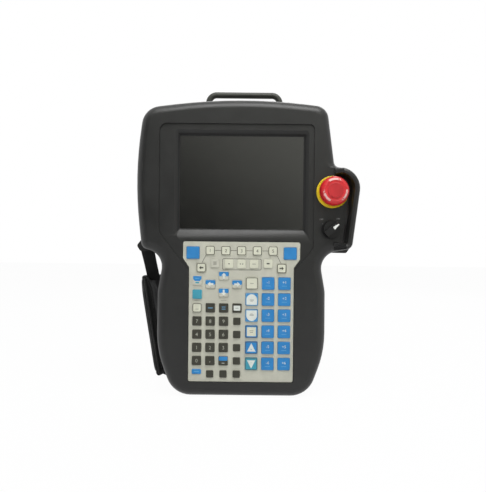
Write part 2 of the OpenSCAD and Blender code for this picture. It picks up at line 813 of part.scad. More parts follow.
module keypad_board() {
    color([0.05, 0.30, 0.16]) difference() {
        plate(box_outline(0, (sheet_top + sheet_bottom) / 2, sheet_w - 0.8, sheet_top - sheet_bottom - 2, 6),
            keypad_board_y, keypad_board_y + board_t);
        for (p = board_screws)
            drill(p, small_screw_d + 0.4, keypad_board_y - cut, keypad_board_y + board_t + cut);
    }
}

// ---- Emergency stop ----

module estop_part(profile) {
    translate([estop_x, face_y, estop_z]) rotate([90, 0, 0]) rotate_extrude() polygon(profile);
}

module estop_collar() {
    r = estop_collar_d / 2;
    neck = estop_hole_d / 2 - 0.2;
    bore = estop_stem_d / 2 + running;
    color([0.95, 0.80, 0.05]) estop_part([
        [bore, -11], [neck, -11], [neck, 0], [r, 0], [r, collar_t - 1],
        [r - 1, collar_t], [bore, collar_t]]);
}

module estop_cap() {
    r = estop_cap_d / 2;
    edge = face_y - cap_edge_y;
    bore = estop_stem_d / 2 + running;
    top = edge + cap_h;
    color([0.80, 0.06, 0.08]) estop_part(concat([
        [0, edge + 6], [bore, edge + 6], [bore, edge], [r - 2, edge], [r - 0.6, edge + 0.5], [r, edge + 2],
        [r, edge + 5]],
        [for (k = [1 : 5]) let (a = 15 * k)
            [r - 4.5 * (1 - cos(a)), edge + 5 + 8 * sin(a)]],
        [[r - 4.6, top - 0.9], [r - 5.2, top - 1.2], [0, top - 0.6]]));
}

module estop_stem() {
    color([0.15, 0.15, 0.15]) translate([estop_x, stem_back_y, estop_z]) rotate([90, 0, 0])
        cylinder(h = stem_back_y - cap_edge_y + 5.7, d = estop_stem_d);
}

module estop_nut() {
    color([0.25, 0.25, 0.25]) difference() {
        drill([estop_x, estop_z], nut_d, nut_y, nut_y + nut_t);
        drill([estop_x, estop_z], estop_hole_d - 0.3, nut_y - cut, nut_y + nut_t + cut);
    }
}

module estop_contact_block() {
    color([0.85, 0.85, 0.83]) difference() {
        plate(box_outline(estop_x, estop_z, block_w, block_w, 2), block_y, block_y + block_t);
        drill([estop_x, estop_z], estop_stem_d + 1, block_y - cut, block_y + block_t - 5);
    }
}

// ---- Enable knob ----

module knob_ring() {
    color([0.10, 0.10, 0.10]) difference() {
        drill([knob_x, knob_z], knob_d + 2.6, face_y - knob_ring_t, face_y);
        drill([knob_x, knob_z], 9.9, face_y - knob_ring_t - cut, face_y + cut);
    }
}

module knob_turned() {
    translate([knob_x, 0, knob_z]) rotate([0, knob_angle, 0]) children();
}

module enable_knob() {
    grip_w = 6.4;
    grip_h = 4.5;
    color([0.07, 0.07, 0.07]) knob_turned() difference() {
        union() {
            drill([0, 0], knob_d, knob_y - knob_h + grip_h, knob_y);
            intersection() {
                drill([0, 0], knob_d - 0.4, knob_y - knob_h, knob_y);
                plate(box_outline(0, 0, grip_w, knob_d + 2, 1), knob_y - knob_h, knob_y - 1);
            }
            drill([0, 0], knob_shaft_d, knob_y - 1, floor_y + 7);
        }
        pointer_slot(0.02);
    }
}

module pointer_slot(room) {
    plate(box_outline(0, knob_d / 4 + 0.6, 1.6 + 2 * room, knob_d / 2 - 2.4, 0.2),
        knob_y - knob_h - (room > 0 ? cut : 0), knob_y - knob_h + 0.6 + room);
}

module enable_pointer() {
    color([0.92, 0.92, 0.90]) knob_turned() pointer_slot(0);
}

module enable_switch() {
    color([0.30, 0.32, 0.36]) difference() {
        union() {
            drill([knob_x, knob_z], 9.6, face_y - knob_ring_t, floor_y + 1);
            drill([knob_x, knob_z], knob_body_d, floor_y, floor_y + knob_body_t);
        }
        drill([knob_x, knob_z], knob_shaft_d + 2 * running, face_y - 2, floor_y + 8);
    }
}

// ---- Enabling levers ----

module lever() {
    foot_z = lever_top - lever_len;
    profile = [
        [lever_back_y, foot_z, 1, 3], [lever_out_y - 3, foot_z, 6, 6],
        [lever_out_y, foot_z + 26, 40, 6], [lever_out_y - 2, lever_top - 14, 30, 6],
        [rear_depth + 1, lever_top + 6, 3, 5], [lever_pin_y - 3, lever_top + 6, 3, 5],
        [lever_pin_y - 3, lever_top - 7, 1, 3], [lever_back_y, lever_top - 12, 2, 3]];
    color([0.30, 0.30, 0.29]) difference() {
        across(lever_x - lever_w / 2, lever_x + lever_w / 2) polygon(rounded(profile));
        translate([lever_x - lever_w, lever_pin_y, lever_top]) rotate([0, 90, 0])
            cylinder(h = 2 * lever_w, d = lever_pin_d + 2 * running);
    }
}

module lever_right() {
    lever();
}

module lever_left() {
    mirror([1, 0, 0]) lever();
}

module lever_pins() {
    length = lever_w + 2 * lever_side + 2 * ear_t;
    color([0.7, 0.7, 0.7]) mirrored()
        translate([lever_x - length / 2, lever_pin_y, lever_top]) rotate([0, 90, 0])
            cylinder(h = length, d = lever_pin_d);
}

module lever_switches() {
    color([0.80, 0.78, 0.70]) mirrored() difference() {
        union() {
            plate(box_outline(lever_x, plunger_z, 33, 8, 2), switch_y - 2, switch_y);
            plate(box_outline(lever_x, plunger_z, 18, 20, 1), 2, switch_y - 1);
        }
        drill([lever_x, plunger_z], plunger_d + 2 * running, 3.4, switch_y + cut);
        for (x = [-13.5, 13.5])
            drill([lever_x + x, plunger_z], small_screw_d + 0.4, switch_y - 2 - cut, switch_y + cut);
    }
}

module plunger_right() {
    color([0.15, 0.15, 0.15]) drill([lever_x, plunger_z], plunger_d, 8, plunger_y);
}

module plunger_left() {
    mirror([1, 0, 0]) plunger_right();
}

// ---- Hanger ----

hanger_foot_x = hanger_w / 2 - hanger_d / 2;

hanger_holes = [for (side = [-1, 1]) [hanger_x + side * hanger_foot_x, hanger_foot_z + 6]];

// Bent bar with its two ends flattened into feet on the case's back
module hanger() {
    r = hanger_bend;
    bend_z = hanger_top - hanger_d / 2 - r;
    leg_z = hanger_foot_z + hanger_foot_h;
    color([0.29, 0.29, 0.26]) {
        for (side = [-1, 1]) translate([hanger_x + side * hanger_foot_x, hanger_y, 0]) {
            translate([0, 0, leg_z]) cylinder(h = bend_z - leg_z, d = hanger_d);
            hull() {
                translate([0, 0, leg_z]) cylinder(h = 0.2, d = hanger_d, $fn = 32);
                translate([-hanger_foot_w / 2, rear_depth - hanger_y + 0.05, hanger_foot_z + 12])
                    cube([hanger_foot_w, hanger_foot_t, 0.2]);
            }
        }
        translate([hanger_x - hanger_foot_x + r, hanger_y, bend_z + r]) rotate([0, 90, 0])
            cylinder(h = 2 * (hanger_foot_x - r), d = hanger_d);
        for (side = [0, 1]) translate([hanger_x, hanger_y, bend_z]) mirror([side, 0, 0])
            translate([hanger_foot_x - r, 0, 0]) rotate([90, 0, 0])
                rotate_extrude(angle = 90) translate([r, 0]) circle(d = hanger_d);
        for (p = hanger_holes) difference() {
            plate(box_outline(p[0], p[1], hanger_foot_w, 12.2, 4),
                rear_depth + 0.05, rear_depth + 0.05 + hanger_foot_t);
            drill(p, small_screw_d + 0.4, rear_depth - cut, rear_depth + hanger_foot_t + cut);
        }
    }
}

module hanger_screws() {
    color([0.55, 0.55, 0.57]) for (p = hanger_holes) {
        drill(p, small_screw_d, rear_depth - 7, rear_depth + hanger_foot_t + 0.2);
        difference() {
            drill(p, small_screw_d + 3.5, rear_depth + hanger_foot_t + 0.05,
                rear_depth + hanger_foot_t + 2.4);
            drill(p, 2.5, rear_depth + hanger_foot_t + 1, rear_depth + hanger_foot_t + 3);
        }
    }
}

// ---- Hand strap ----

function pad_path(t) = -lerp(flank + 3.1, left_reach - 2.2, pow(t, 0.85));

// How full the pad is along its length, rounded off at both ends
function pad_end(t) = sqrt(max(1 - pow(abs(2 * t - 1), 8), 0.12));

function pad_half(end) = pad_t / 2 * (0.55 + 0.45 * end);

module strap_pad() {
    steps = 14;
    rings = [for (k = [0 : steps])
        let (t = k / steps,
             end = pad_end(t),
             w = pad_w * (0.62 + 0.38 * smooth(3 * t)) * (0.9 + 0.1 * end),
             a = pad_half(end),
             x = pad_path(t) + pad_t / 2)
        [for (i = [0 : 19]) let (q = 18 * i)
            [x + a * pow(abs(cos(q)), 0.6) * sign(cos(q)),
             8 + w / 2 + w / 2 * pow(abs(sin(q)), 0.5) * sign(sin(q)), lerp(pad_bottom, pad_top, t)]]];
    color([0.07, 0.07, 0.07]) skin(rings);
}

module strap_webbing() {
    color([0.05, 0.05, 0.05]) {
        difference() {
            union() {
                translate([-webbing_x - webbing_w / 2, bar_y, bar_z]) rotate([0, 90, 0])
                    cylinder(h = webbing_w, r = loop_out);
                translate([-webbing_x - webbing_w / 2, bar_y - webbing_t, pad_top + 0.1])
                    cube([webbing_w, 2 * webbing_t, bar_z - pad_top]);
            }
            translate([-webbing_x - webbing_w, bar_y, bar_z]) rotate([0, 90, 0])
                cylinder(h = 2 * webbing_w, r = loop_in);
        }
        low_loop = [-low_bar_x, low_bar_z];
        pad_in = pad_path(0) + pad_t / 2 + pad_half(pad_end(0));
        difference() {
            union() {
                drill(low_loop, 2 * loop_out, low_strap_y, low_strap_y + webbing_w);
                slab(low_strap_y, low_strap_y + webbing_w) polygon([
                    low_loop - [0, webbing_t], low_loop + [0, webbing_t],
                    [pad_in + 0.1, pad_bottom + 1 + 2 * webbing_t], [pad_in + 0.1, pad_bottom + 1]]);
            }
            drill(low_loop, 2 * loop_in, low_strap_y - cut, low_strap_y + webbing_w + cut);
        }
    }
}

// ---- Cable receptacle ----

module receptacle_shell() {
    color([0.62, 0.62, 0.60]) translate([0, receptacle_y, spine_bottom]) difference() {
        union() {
            translate([0, 0, -receptacle_len]) cylinder(h = receptacle_len + wall + 3, d = receptacle_d);
            translate([0, 0, -receptacle_flange_t])
                cylinder(h = receptacle_flange_t, d = receptacle_flange_d);
        }
        translate([0, 0, -receptacle_len - cut])
            cylinder(h = receptacle_len - 4 + cut, d = receptacle_d - 3);
        translate([0, 0, -4 - cut]) cylinder(h = 20, d = receptacle_d - 5);
    }
}

module receptacle_insert() {
    color([0.10, 0.10, 0.10]) translate([0, receptacle_y, spine_bottom - 4])
        cylinder(h = 8, d = receptacle_d - 5.04);
}

module receptacle_pins() {
    color([0.80, 0.65, 0.30]) translate([0, receptacle_y, spine_bottom - 10]) {
        for (k = [0 : 7]) rotate([0, 0, 45 * k]) translate([(receptacle_d - 5) / 2 - 2, 0, 0])
            cylinder(h = 6, d = 1.2);
        cylinder(h = 6, d = 1.2);
    }
}

// ---- Assembly ----

front_housing();
rear_housing();
housing_seal();
housing_screws();
display_window();
display_module();
display_bracket();
inner_screws();
main_board();
key_sheet();
dome_mat();
keypad_board();
estop_collar();
estop_cap();
estop_stem();
estop_nut();
estop_contact_block();
knob_ring();
enable_knob();
enable_pointer();
enable_switch();
lever_left();
lever_right();
lever_pins();
lever_switches();
plunger_left();
plunger_right();
hanger();
hanger_screws();
strap_webbing();
strap_pad();
receptacle_shell();
receptacle_insert();
receptacle_pins();
for (k = moving_keys) key(k);
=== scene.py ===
# %% [markdown]
# A handheld teach pendant, dressed for close views
#
# The solid model arrives as a frame of named nodes: two moulded case halves, a keypad, a guarded
# stop button, a selector, squeeze levers and a hand strap. This notebook keeps every shape that is
# already right, gives it a finish, and adds what a solid model leaves out: printed keys and
# legends, a thin seal that also serves as painted shade on the screen's bevel, the line where the
# case halves meet, and a soft grip with its webbing.

# %% Load the frame
import math

import bmesh
import bpy
import numpy as np
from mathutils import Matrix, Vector
from mathutils.bvhtree import BVHTree


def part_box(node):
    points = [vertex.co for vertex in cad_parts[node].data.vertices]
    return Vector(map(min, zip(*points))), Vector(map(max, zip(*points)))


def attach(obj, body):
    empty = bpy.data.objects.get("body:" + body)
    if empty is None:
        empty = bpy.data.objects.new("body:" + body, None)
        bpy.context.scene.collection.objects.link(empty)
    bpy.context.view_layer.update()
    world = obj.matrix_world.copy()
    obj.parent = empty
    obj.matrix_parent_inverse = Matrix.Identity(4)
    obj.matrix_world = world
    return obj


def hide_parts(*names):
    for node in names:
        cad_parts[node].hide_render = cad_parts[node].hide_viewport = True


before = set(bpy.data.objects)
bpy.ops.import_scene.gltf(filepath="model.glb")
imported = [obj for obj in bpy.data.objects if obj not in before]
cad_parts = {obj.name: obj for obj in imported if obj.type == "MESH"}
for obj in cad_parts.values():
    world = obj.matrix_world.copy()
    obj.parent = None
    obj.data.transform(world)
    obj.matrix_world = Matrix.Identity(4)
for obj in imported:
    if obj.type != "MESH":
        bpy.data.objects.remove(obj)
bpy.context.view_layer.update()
MM = 0.001
CASE = "case"
scene = bpy.context.scene

# %% [markdown]
# A few steps come up again and again: putting an object in the scene, reading where a solid node
# lies, and placing shader nodes. Pieces are laid out in millimetres, and MM turns them into
# metres. Lamps, the floor and the settings of materials are in metres.


# %% Shared helpers
def add_object(name, data):
    made = bpy.data.objects.new(name, data)
    scene.collection.objects.link(made)
    return made


def add_card(name, corners):
    mesh = bpy.data.meshes.new(name)
    mesh.from_pydata(corners, [], [(0, 1, 2, 3)])
    return add_object(name, mesh)


def box_mm(name):
    """Opposite corners of a solid node's box."""
    return [[c / MM for c in corner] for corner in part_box(name)]


def middle_mm(name):
    """Where the middle of a solid node lies, x and z as seen from the front."""
    low, high = box_mm(name)
    return (low[0] + high[0]) / 2, (low[2] + high[2]) / 2


def set_inputs(tree, node, inputs):
    for label, value in dict(inputs).items():
        if isinstance(value, bpy.types.NodeSocket):
            tree.links.new(value, node.inputs[label])
        else:
            node.inputs[label].default_value = value


def add_node(tree, kind, inputs=(), **settings):
    node = tree.nodes.new("ShaderNode" + kind)
    for label, value in settings.items():
        setattr(node, label, value)
    set_inputs(tree, node, inputs)
    return node


def calc(tree, operation, *values):
    return add_node(tree, "Math", enumerate(values), operation=operation).outputs[0]


def times(tree, first, second, plus=0.0):
    return calc(tree, "MULTIPLY_ADD", first, second, plus)


def new_material(name):
    material = bpy.data.materials.new(name)
    material.use_nodes = True
    return material, material.node_tree, material.node_tree.nodes["Principled BSDF"]


print("helpers ready")

# %% [markdown]
# The camera stands in front of the face at arm's length, level with the middle of the case. A
# pendant is a flat thing, so a plain straight view shows its outline best. The view rolls by a
# fraction of a degree, as when the pendant leans a little.

# %% Camera
eye = bpy.data.cameras.new("front_view")
eye.sensor_fit = "AUTO"
eye.sensor_width = 36
eye.lens = 39.53
eye.clip_start = 0.01
camera = add_object("front_view", eye)
camera.location = Vector((1.37, -594, 160)) * MM
camera.rotation_euler = (math.radians(90), math.radians(-0.6), 0)
scene.camera = camera
scene.view_settings.view_transform = "Standard"
print("camera", [round(v, 3) for v in camera.location], "lens", eye.lens)

# %% [markdown]
# Light comes from a broad soft lamp overhead, so the rolled top edge and the sill under the screen
# catch a line of light while the reveals stay dark. A weaker lamp in front keeps the keys readable,
# and one behind lights the back. The world and the floor are white only to rays that see them as
# background, so a white surround costs the object no contrast.


# %% Lamps, world and floor
def soft_lamp(name, place, aim, size, power):
    lamp = bpy.data.lights.new(name, "AREA")
    lamp.shape = "RECTANGLE"
    lamp.size, lamp.size_y = size
    lamp.energy = power
    holder = add_object(name, lamp)
    holder.location = place
    holder.rotation_euler = (Vector(aim) - Vector(place)).to_track_quat("-Z", "Y").to_euler()


soft_lamp("overhead_lamp", (0.1, -0.55, 1.25), (0, 0, 0.2), (1.0, 0.6), 14)
soft_lamp("front_lamp", (-0.5, -1.3, 0.6), (0, 0, 0.17), (0.8, 0.8), 3.6)
soft_lamp("back_lamp", (0.3, 1.2, 0.9), (0, 0, 0.15), (1.0, 1.0), 6)


def seen_as_background(tree):
    """1 for rays that see the background directly, in a mirror or through glass."""
    path = add_node(tree, "LightPath").outputs
    straight = calc(tree, "MAXIMUM", path["Is Camera Ray"], path["Is Transmission Ray"])
    return calc(tree, "MAXIMUM", straight, path["Is Glossy Ray"])


def mix_shaders(tree, share, first, second):
    return add_node(tree, "MixShader", {0: share, 1: first.outputs[0], 2: second.outputs[0]}).outputs[0]


world = bpy.data.worlds.new("white_room")
scene.world = world
world.use_nodes = True
tree = world.node_tree
tree.nodes.clear()
ambient = add_node(tree, "Background", {"Color": (0.9, 0.95, 1, 1), "Strength": 0.25})
white = add_node(tree, "Background", {"Color": (1, 1, 1, 1), "Strength": 1})
add_node(tree, "OutputWorld", {0: mix_shaders(tree, seen_as_background(tree), ambient, white)})

FLOOR_WHITE = 0.97
floor = add_card("floor", [(-4, -4, 0), (4, -4, 0), (4, 4, 0), (-4, 4, 0)])
floor.location.z = -0.0002
paper, tree, matt = new_material("white_paper")
set_inputs(tree, matt, {"Base Color": (0.85, 0.85, 0.85, 1), "Roughness": 0.9})
glow = add_node(tree, "Emission", {"Strength": 1})
share = times(tree, seen_as_background(tree), FLOOR_WHITE)
set_inputs(tree, tree.nodes["Material Output"], {"Surface": mix_shaders(tree, share, matt, glow)})
floor.data.materials.append(paper)
print("lamps", len(bpy.data.lights))

# %% [markdown]
# The case halves come as triangles. Their shape is right, but each triangle shades by itself, so a
# rolled edge would look cut from card. Moving no point, the shading normal of every corner becomes
# the mean of the faces that meet there at a shallow angle. Sharp edges stay sharp.


# %% Even shading for the solid nodes
SAME_PLACE = 0.002 * MM


def read(items, label, width=1, kind=np.float32):
    values = np.empty(len(items) * width, kind)
    items.foreach_get(label, values)
    return values.reshape(-1, width) if width > 1 else values


def soften(piece, limit=32):
    mesh = piece.data
    count = len(mesh.loops)
    if not count:
        return
    corner = read(mesh.loops, "vertex_index", kind=np.int32)
    place = np.round(read(mesh.vertices, "co", 3)[corner] / SAME_PLACE).astype(np.int64)
    size = read(mesh.polygons, "loop_total", kind=np.int32)
    owner = np.repeat(np.arange(len(size)), size)
    face = read(mesh.polygons, "normal", 3)[owner]
    weight = read(mesh.polygons, "area")[owner][:, None]
    order = np.lexsort((place[:, 2], place[:, 1], place[:, 0]))
    sorted_place = place[order]
    new = np.any(sorted_place[1:] != sorted_place[:-1], axis=1)
    starts = np.concatenate([[0], np.nonzero(new)[0] + 1, [count]])
    shallow = math.cos(math.radians(limit))
    result = face.copy()
    for first, last in zip(starts[:-1], starts[1:]):
        if last - first < 2:
            continue
        group = order[first:last]
        near = (face[group] @ face[group].T) > shallow
        total = near @ (face[group] * weight[group])
        length = np.linalg.norm(total, axis=1, keepdims=True)
        result[group] = np.where(length > 1e-12, total / np.maximum(length, 1e-12), face[group])
    mesh.polygons.foreach_set("use_smooth", np.ones(len(mesh.polygons), bool))
    mesh.normals_split_custom_set(result.tolist())


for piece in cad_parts.values():
    soften(piece)
print("softened", len(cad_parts))

# %% [markdown]
# Effects that several materials share are node groups. They work in object coordinates, so they
# keep their real size and need no unwrapped map. The first is the fine leathery grain of a mould.
# The second finds edges by comparing the normal with a rounded one, broken up with noise; it turns
# edges pale for wear, and on the case partly for a painted highlight. The third gives the smudges
# that hands leave, and the fourth the dust on faces turned upwards.


# %% Node groups for grain, edge wear and highlight, smudges and dust
def new_group(name, inputs, outputs):
    """A group with named number sockets, its input sockets, and the node that its results go to."""
    group = bpy.data.node_groups.new(name, "ShaderNodeTree")
    for label in [*inputs, *outputs]:
        way = "INPUT" if label in inputs else "OUTPUT"
        socket = group.interface.new_socket(label, in_out=way, socket_type="NodeSocketFloat")
        if label in inputs:
            socket.default_value = inputs[label]
    return group, group.nodes.new("NodeGroupInput").outputs, group.nodes.new("NodeGroupOutput")


def close_group(tree, end, **results):
    set_inputs(tree, end, results)
    return tree


def place_of(tree, kind="Object"):
    return add_node(tree, "TexCoord").outputs[kind]


def axes_of(tree, vector):
    return add_node(tree, "SeparateXYZ", {0: vector}).outputs


def noise_of(tree, scale, detail=3.0, where=None, roughness=0.5):
    inputs = {"Vector": place_of(tree) if where is None else where, "Scale": scale,
              "Detail": detail, "Roughness": roughness}
    return add_node(tree, "TexNoise", inputs).outputs["Fac"]


def ramp_of(tree, value, low, high):
    inputs = {"Value": value, "From Min": low, "From Max": high}
    return add_node(tree, "MapRange", inputs, interpolation_type="SMOOTHSTEP").outputs["Result"]


def make_moulded_grain():
    tree, given, end = new_group("moulded_grain", {"Size": 0.0008}, ["Height"])
    scale = calc(tree, "DIVIDE", 1.0, given["Size"])
    cells = add_node(tree, "TexVoronoi", {"Vector": place_of(tree), "Scale": scale}, feature="SMOOTH_F1")
    fine = noise_of(tree, times(tree, scale, 0.45), 4)
    coarse = times(tree, cells.outputs["Distance"], 0.6)
    return close_group(tree, end, Height=times(tree, fine, 0.8, coarse))


def make_edge_wear_and_highlight():
    tree, given, end = new_group("edge_wear_and_highlight", {"Width": 0.0006, "Amount": 0.5}, ["Mask"])
    rounded = add_node(tree, "Bevel", {"Radius": given["Width"]}, samples=6).outputs[0]
    normal = add_node(tree, "NewGeometry").outputs["Normal"]
    dot = add_node(tree, "VectorMath", {0: rounded, 1: normal}, operation="DOT_PRODUCT")
    edge = ramp_of(tree, calc(tree, "SUBTRACT", 1.0, dot.outputs["Value"]), 0.015, 0.16)
    patches = ramp_of(tree, noise_of(tree, 70, 5, roughness=0.65), 0.42, 0.62)
    # Pale edges from this mask are wear, and on the case partly a painted highlight.
    worn_and_highlit = times(tree, edge, patches)
    return close_group(tree, end, Mask=times(tree, worn_and_highlit, given["Amount"]))


def make_hand_smudges():
    tree, given, end = new_group("hand_smudges", {"Size": 0.03}, ["Value"])
    scale = calc(tree, "DIVIDE", 1.0, given["Size"])
    broad = times(tree, noise_of(tree, scale, 2), 0.6)
    streaks = noise_of(tree, times(tree, scale, 4.5), 5, roughness=0.6)
    both = times(tree, streaks, 0.45, broad)
    return close_group(tree, end, Value=ramp_of(tree, both, 0.35, 0.72))


def make_settled_dust():
    tree, given, end = new_group("settled_dust", {"Amount": 0.3}, ["Mask"])
    facing = axes_of(tree, add_node(tree, "NewGeometry").outputs["Normal"])
    upward = ramp_of(tree, facing["Z"], 0.25, 1.0)
    specks = ramp_of(tree, noise_of(tree, 260, 6, roughness=0.7), 0.45, 0.66)
    lying = times(tree, upward, specks)
    return close_group(tree, end, Mask=times(tree, lying, given["Amount"]))


GRAIN = make_moulded_grain()
EDGE_WEAR_AND_HIGHLIGHT = make_edge_wear_and_highlight()
SMUDGES = make_hand_smudges()
DUST = make_settled_dust()
print("groups", [g.name for g in bpy.data.node_groups])

# %% [markdown]
# Cloth needs two more groups. Webbing is a tight plain weave of thick yarns, laid out by the map
# that runs along the tape. The pad's cover is a finer, softer knit whose loops lie in rows. Both
# give a height for the bump and a Shade output: painted shade that darkens the gaps between the
# yarns, where shadow would fall.


# %% Node groups for webbing and knit
def waves(tree, value, per_unit):
    angle = times(tree, value, per_unit * 2 * math.pi)
    return times(tree, calc(tree, "SINE", angle), 0.5, 0.5)


def make_woven_tape():
    tree, given, end = new_group("woven_tape", {"Yarns per metre": 900}, ["Height", "Shade"])
    spot, yarns = axes_of(tree, place_of(tree, "UV")), given["Yarns per metre"]
    across = times(tree, spot["X"], yarns)
    along = times(tree, spot["Y"], times(tree, yarns, 0.6))
    flip = times(tree, calc(tree, "MODULO", calc(tree, "FLOOR", across), 2.0), 0.5)
    ridge = calc(tree, "SINE", times(tree, calc(tree, "FRACT", across), math.pi))
    over = times(tree, waves(tree, calc(tree, "ADD", along, flip), 1.0), 0.7, 0.3)
    height = times(tree, calc(tree, "ABSOLUTE", ridge), over)
    return close_group(tree, end, Height=height, Shade=ramp_of(tree, height, 0.05, 0.6))


def make_cover_knit():
    tree, given, end = new_group("cover_knit", {"Loops per metre": 700}, ["Height", "Shade"])
    spot, loops = axes_of(tree, place_of(tree)), given["Loops per metre"]
    side = calc(tree, "ADD", spot["Y"], times(tree, spot["X"], 0.9))
    column = waves(tree, times(tree, side, loops), 1.0)
    row = waves(tree, times(tree, spot["Z"], loops), 0.8)
    height = times(tree, column, row)
    fuzzy = times(tree, noise_of(tree, 1500, 3), 0.5, height)
    return close_group(tree, end, Height=fuzzy, Shade=ramp_of(tree, height, 0.0, 0.5))


TAPE = make_woven_tape()
KNIT = make_cover_knit()
print("groups", len(bpy.data.node_groups))

# %% [markdown]
# Colours are written as 0 to 255 and turned into linear light here. The moulded finish serves the
# case, the levers, the knob and the stop button. Its colour drifts a little from place to place,
# edges go paler where hands polish them and, on the case, partly as a painted highlight where an
# edge catches the light, and the grain is a bump of a few hundredths of a millimetre at most.


# %% Moulded plastic
def paint(*levels):
    shares = [level / 255 for level in levels]
    return tuple(c / 12.92 if c <= 0.04045 else ((c + 0.055) / 1.055) ** 2.4 for c in shares) + (1,)


def shade_of(rgba, factor):
    return tuple(min(1, c * factor) for c in rgba[:3]) + (1,)


def place_group(tree, group, **values):
    inputs = {label.replace("_", " "): value for label, value in values.items()}
    return add_node(tree, "Group", inputs, node_tree=group).outputs


def blend_colours(tree, factor, first, second):
    inputs = {"Factor": factor, 6: first, 7: second}
    return add_node(tree, "Mix", inputs, data_type="RGBA").outputs[2]


def worn_and_highlit_paint(tree, colour, smudges, drift, width, wear, pale):
    """A colour that drifts with the smudges and turns to the pale one at polished edges, and on the case partly
    as a painted highlight.
    """
    body = blend_colours(tree, smudges, shade_of(colour, 1 - drift[0]), shade_of(colour, 1 + drift[1]))
    return blend_colours(tree, place_group(tree, EDGE_WEAR_AND_HIGHLIGHT, Width=width, Amount=wear)[0], body, pale)


def bump_of(tree, height, depth):
    return add_node(tree, "Bump", {"Strength": 1, "Distance": depth, "Height": height}).outputs[0]


def span(tree, value, low, high):
    return times(tree, value, high - low, low)


finishes = {}


def new_finish(name, levels):
    finishes[name], tree, shader = new_material(name)
    return tree, shader, paint(*levels)


def moulded(name, levels, gloss=(0.42, 0.58), grain=0.0009, depth=0.00004, wear=0.5, dust=0.25,
            pale=2.6, shine=0.5):
    tree, shader, colour = new_finish(name, levels)
    smudges = place_group(tree, SMUDGES, Size=0.045)[0]
    dusted = place_group(tree, DUST, Amount=dust)[0]
    worn_and_highlit = worn_and_highlit_paint(tree, colour, smudges, (0.12, 0.12), 0.0007, wear, shade_of(colour, pale))
    set_inputs(tree, shader, {
        "Base Color": blend_colours(tree, dusted, worn_and_highlit, paint(150, 146, 138)),
        "Roughness": span(tree, smudges, *gloss),
        "Specular IOR Level": shine,
        "Normal": bump_of(tree, place_group(tree, GRAIN, Size=grain)[0], depth),
    })


CAP = dict(grain=0.0006, depth=0.000015)
# The case's edges are lightened more here: partly wear, partly a painted highlight on its rounded and stepped
# edges.
moulded("case_plastic", (33, 33, 32), (0.37, 0.45), wear=0.6, dust=0.1, shine=0.4)
moulded("lever_plastic", (62, 62, 60), grain=0.0007, wear=0.6, shine=0.35)
moulded("black_plastic", (16, 16, 16), (0.34, 0.5), 0.0005, 0.00002, pale=4, shine=0.35)
moulded("seal_rubber", (20, 20, 20), (0.7, 0.85), wear=0)
moulded("estop_red", (206, 34, 40), (0.3, 0.42), wear=0.3, dust=0.12, pale=1.6, **CAP)
moulded("cap_centre", (186, 30, 36), (0.34, 0.46), wear=0.3, dust=0.1, pale=1.5, **CAP)
moulded("estop_yellow", (228, 196, 20), (0.34, 0.46), wear=0.2, dust=0.1, pale=1.2, **CAP)
moulded("pointer_white", (228, 228, 222), wear=0, dust=0.1, depth=0.00001)
moulded("dome_silicone", (170, 170, 160), (0.6, 0.7), wear=0)
moulded("circuit_board", (24, 84, 52), (0.3, 0.4), wear=0, dust=0.1)
print("finishes", sorted(finishes))

# %% [markdown]
# The line where the two case halves meet is too fine for a solid. It lies in one plane, so the
# case material finds it by depth, and shows a narrow dark line with a small dip all the way round.

# %% The joint between the halves
tree = finishes["case_plastic"].node_tree
shader = tree.nodes["Principled BSDF"]
depth = calc(tree, "ABSOLUTE", axes_of(tree, place_of(tree))["Y"])
joint_line = calc(tree, "SUBTRACT", 1.0, ramp_of(tree, depth, 0.00012, 0.00032))
plain = shader.inputs["Base Color"].links[0].from_socket
set_inputs(tree, shader, {"Base Color": blend_colours(tree, joint_line, plain, paint(14, 14, 14))})
bump = shader.inputs["Normal"].links[0].from_node
grain = bump.inputs["Height"].links[0].from_socket
set_inputs(tree, bump, {"Height": times(tree, joint_line, -8.0, grain)})
print("joint line at depth 0")

# %% [markdown]
# The hanger is bar with a dull dark coating, worn paler at its edges. Screws and the connector are
# plated, with fine drawn scratches that spread the highlight. All keep their metal value uniform
# and vary only in colour and roughness.


# %% Metals
def metal(name, levels, gloss, wear=0.4, shine=1.0, pale=1.8):
    tree, shader, colour = new_finish(name, levels)
    smudges = place_group(tree, SMUDGES, Size=0.02)[0]
    stretch = add_node(tree, "Mapping", {"Scale": (1, 1, 0.06), "Vector": place_of(tree)})
    lines = noise_of(tree, 2600, 4, stretch.outputs[0], 0.7)
    uneven = times(tree, lines, 0.5, times(tree, smudges, 0.5))
    set_inputs(tree, shader, {
        "Base Color": worn_and_highlit_paint(tree, colour, smudges, (0.15, 0.1), 0.0005, wear, shade_of(colour, pale)),
        "Metallic": shine,
        "Roughness": span(tree, uneven, *gloss),
        "Normal": bump_of(tree, lines, 0.000012),
    })


metal("hanger_metal", (56, 57, 52), (0.36, 0.6), 0.6, 0.35, 2.4)
metal("screw_steel", (150, 150, 152), (0.25, 0.45))
metal("frame_sheet", (170, 172, 172), (0.3, 0.5))
metal("receptacle_metal", (140, 139, 134), (0.22, 0.42))
metal("pin_brass", (206, 168, 88), (0.2, 0.35))
print("metals done")

# %% [markdown]
# The screen is off, so its look comes from what its satin glass mirrors. A card behind the camera
# fades from white to black. It shows only in reflections, and lets the glass fall from grey at the
# top right to near black at the bottom left.

# %% Screen glass and the black card
finishes["window"], tree, shader = new_material("screen_glass")
smudges = place_group(tree, SMUDGES, Size=0.05)[0]
set_inputs(tree, shader, {
    "Base Color": blend_colours(tree, smudges, paint(14, 14, 11), paint(18, 18, 14)),
    "Roughness": span(tree, smudges, 0.2, 0.23),
    "Specular IOR Level": 0.95,
})

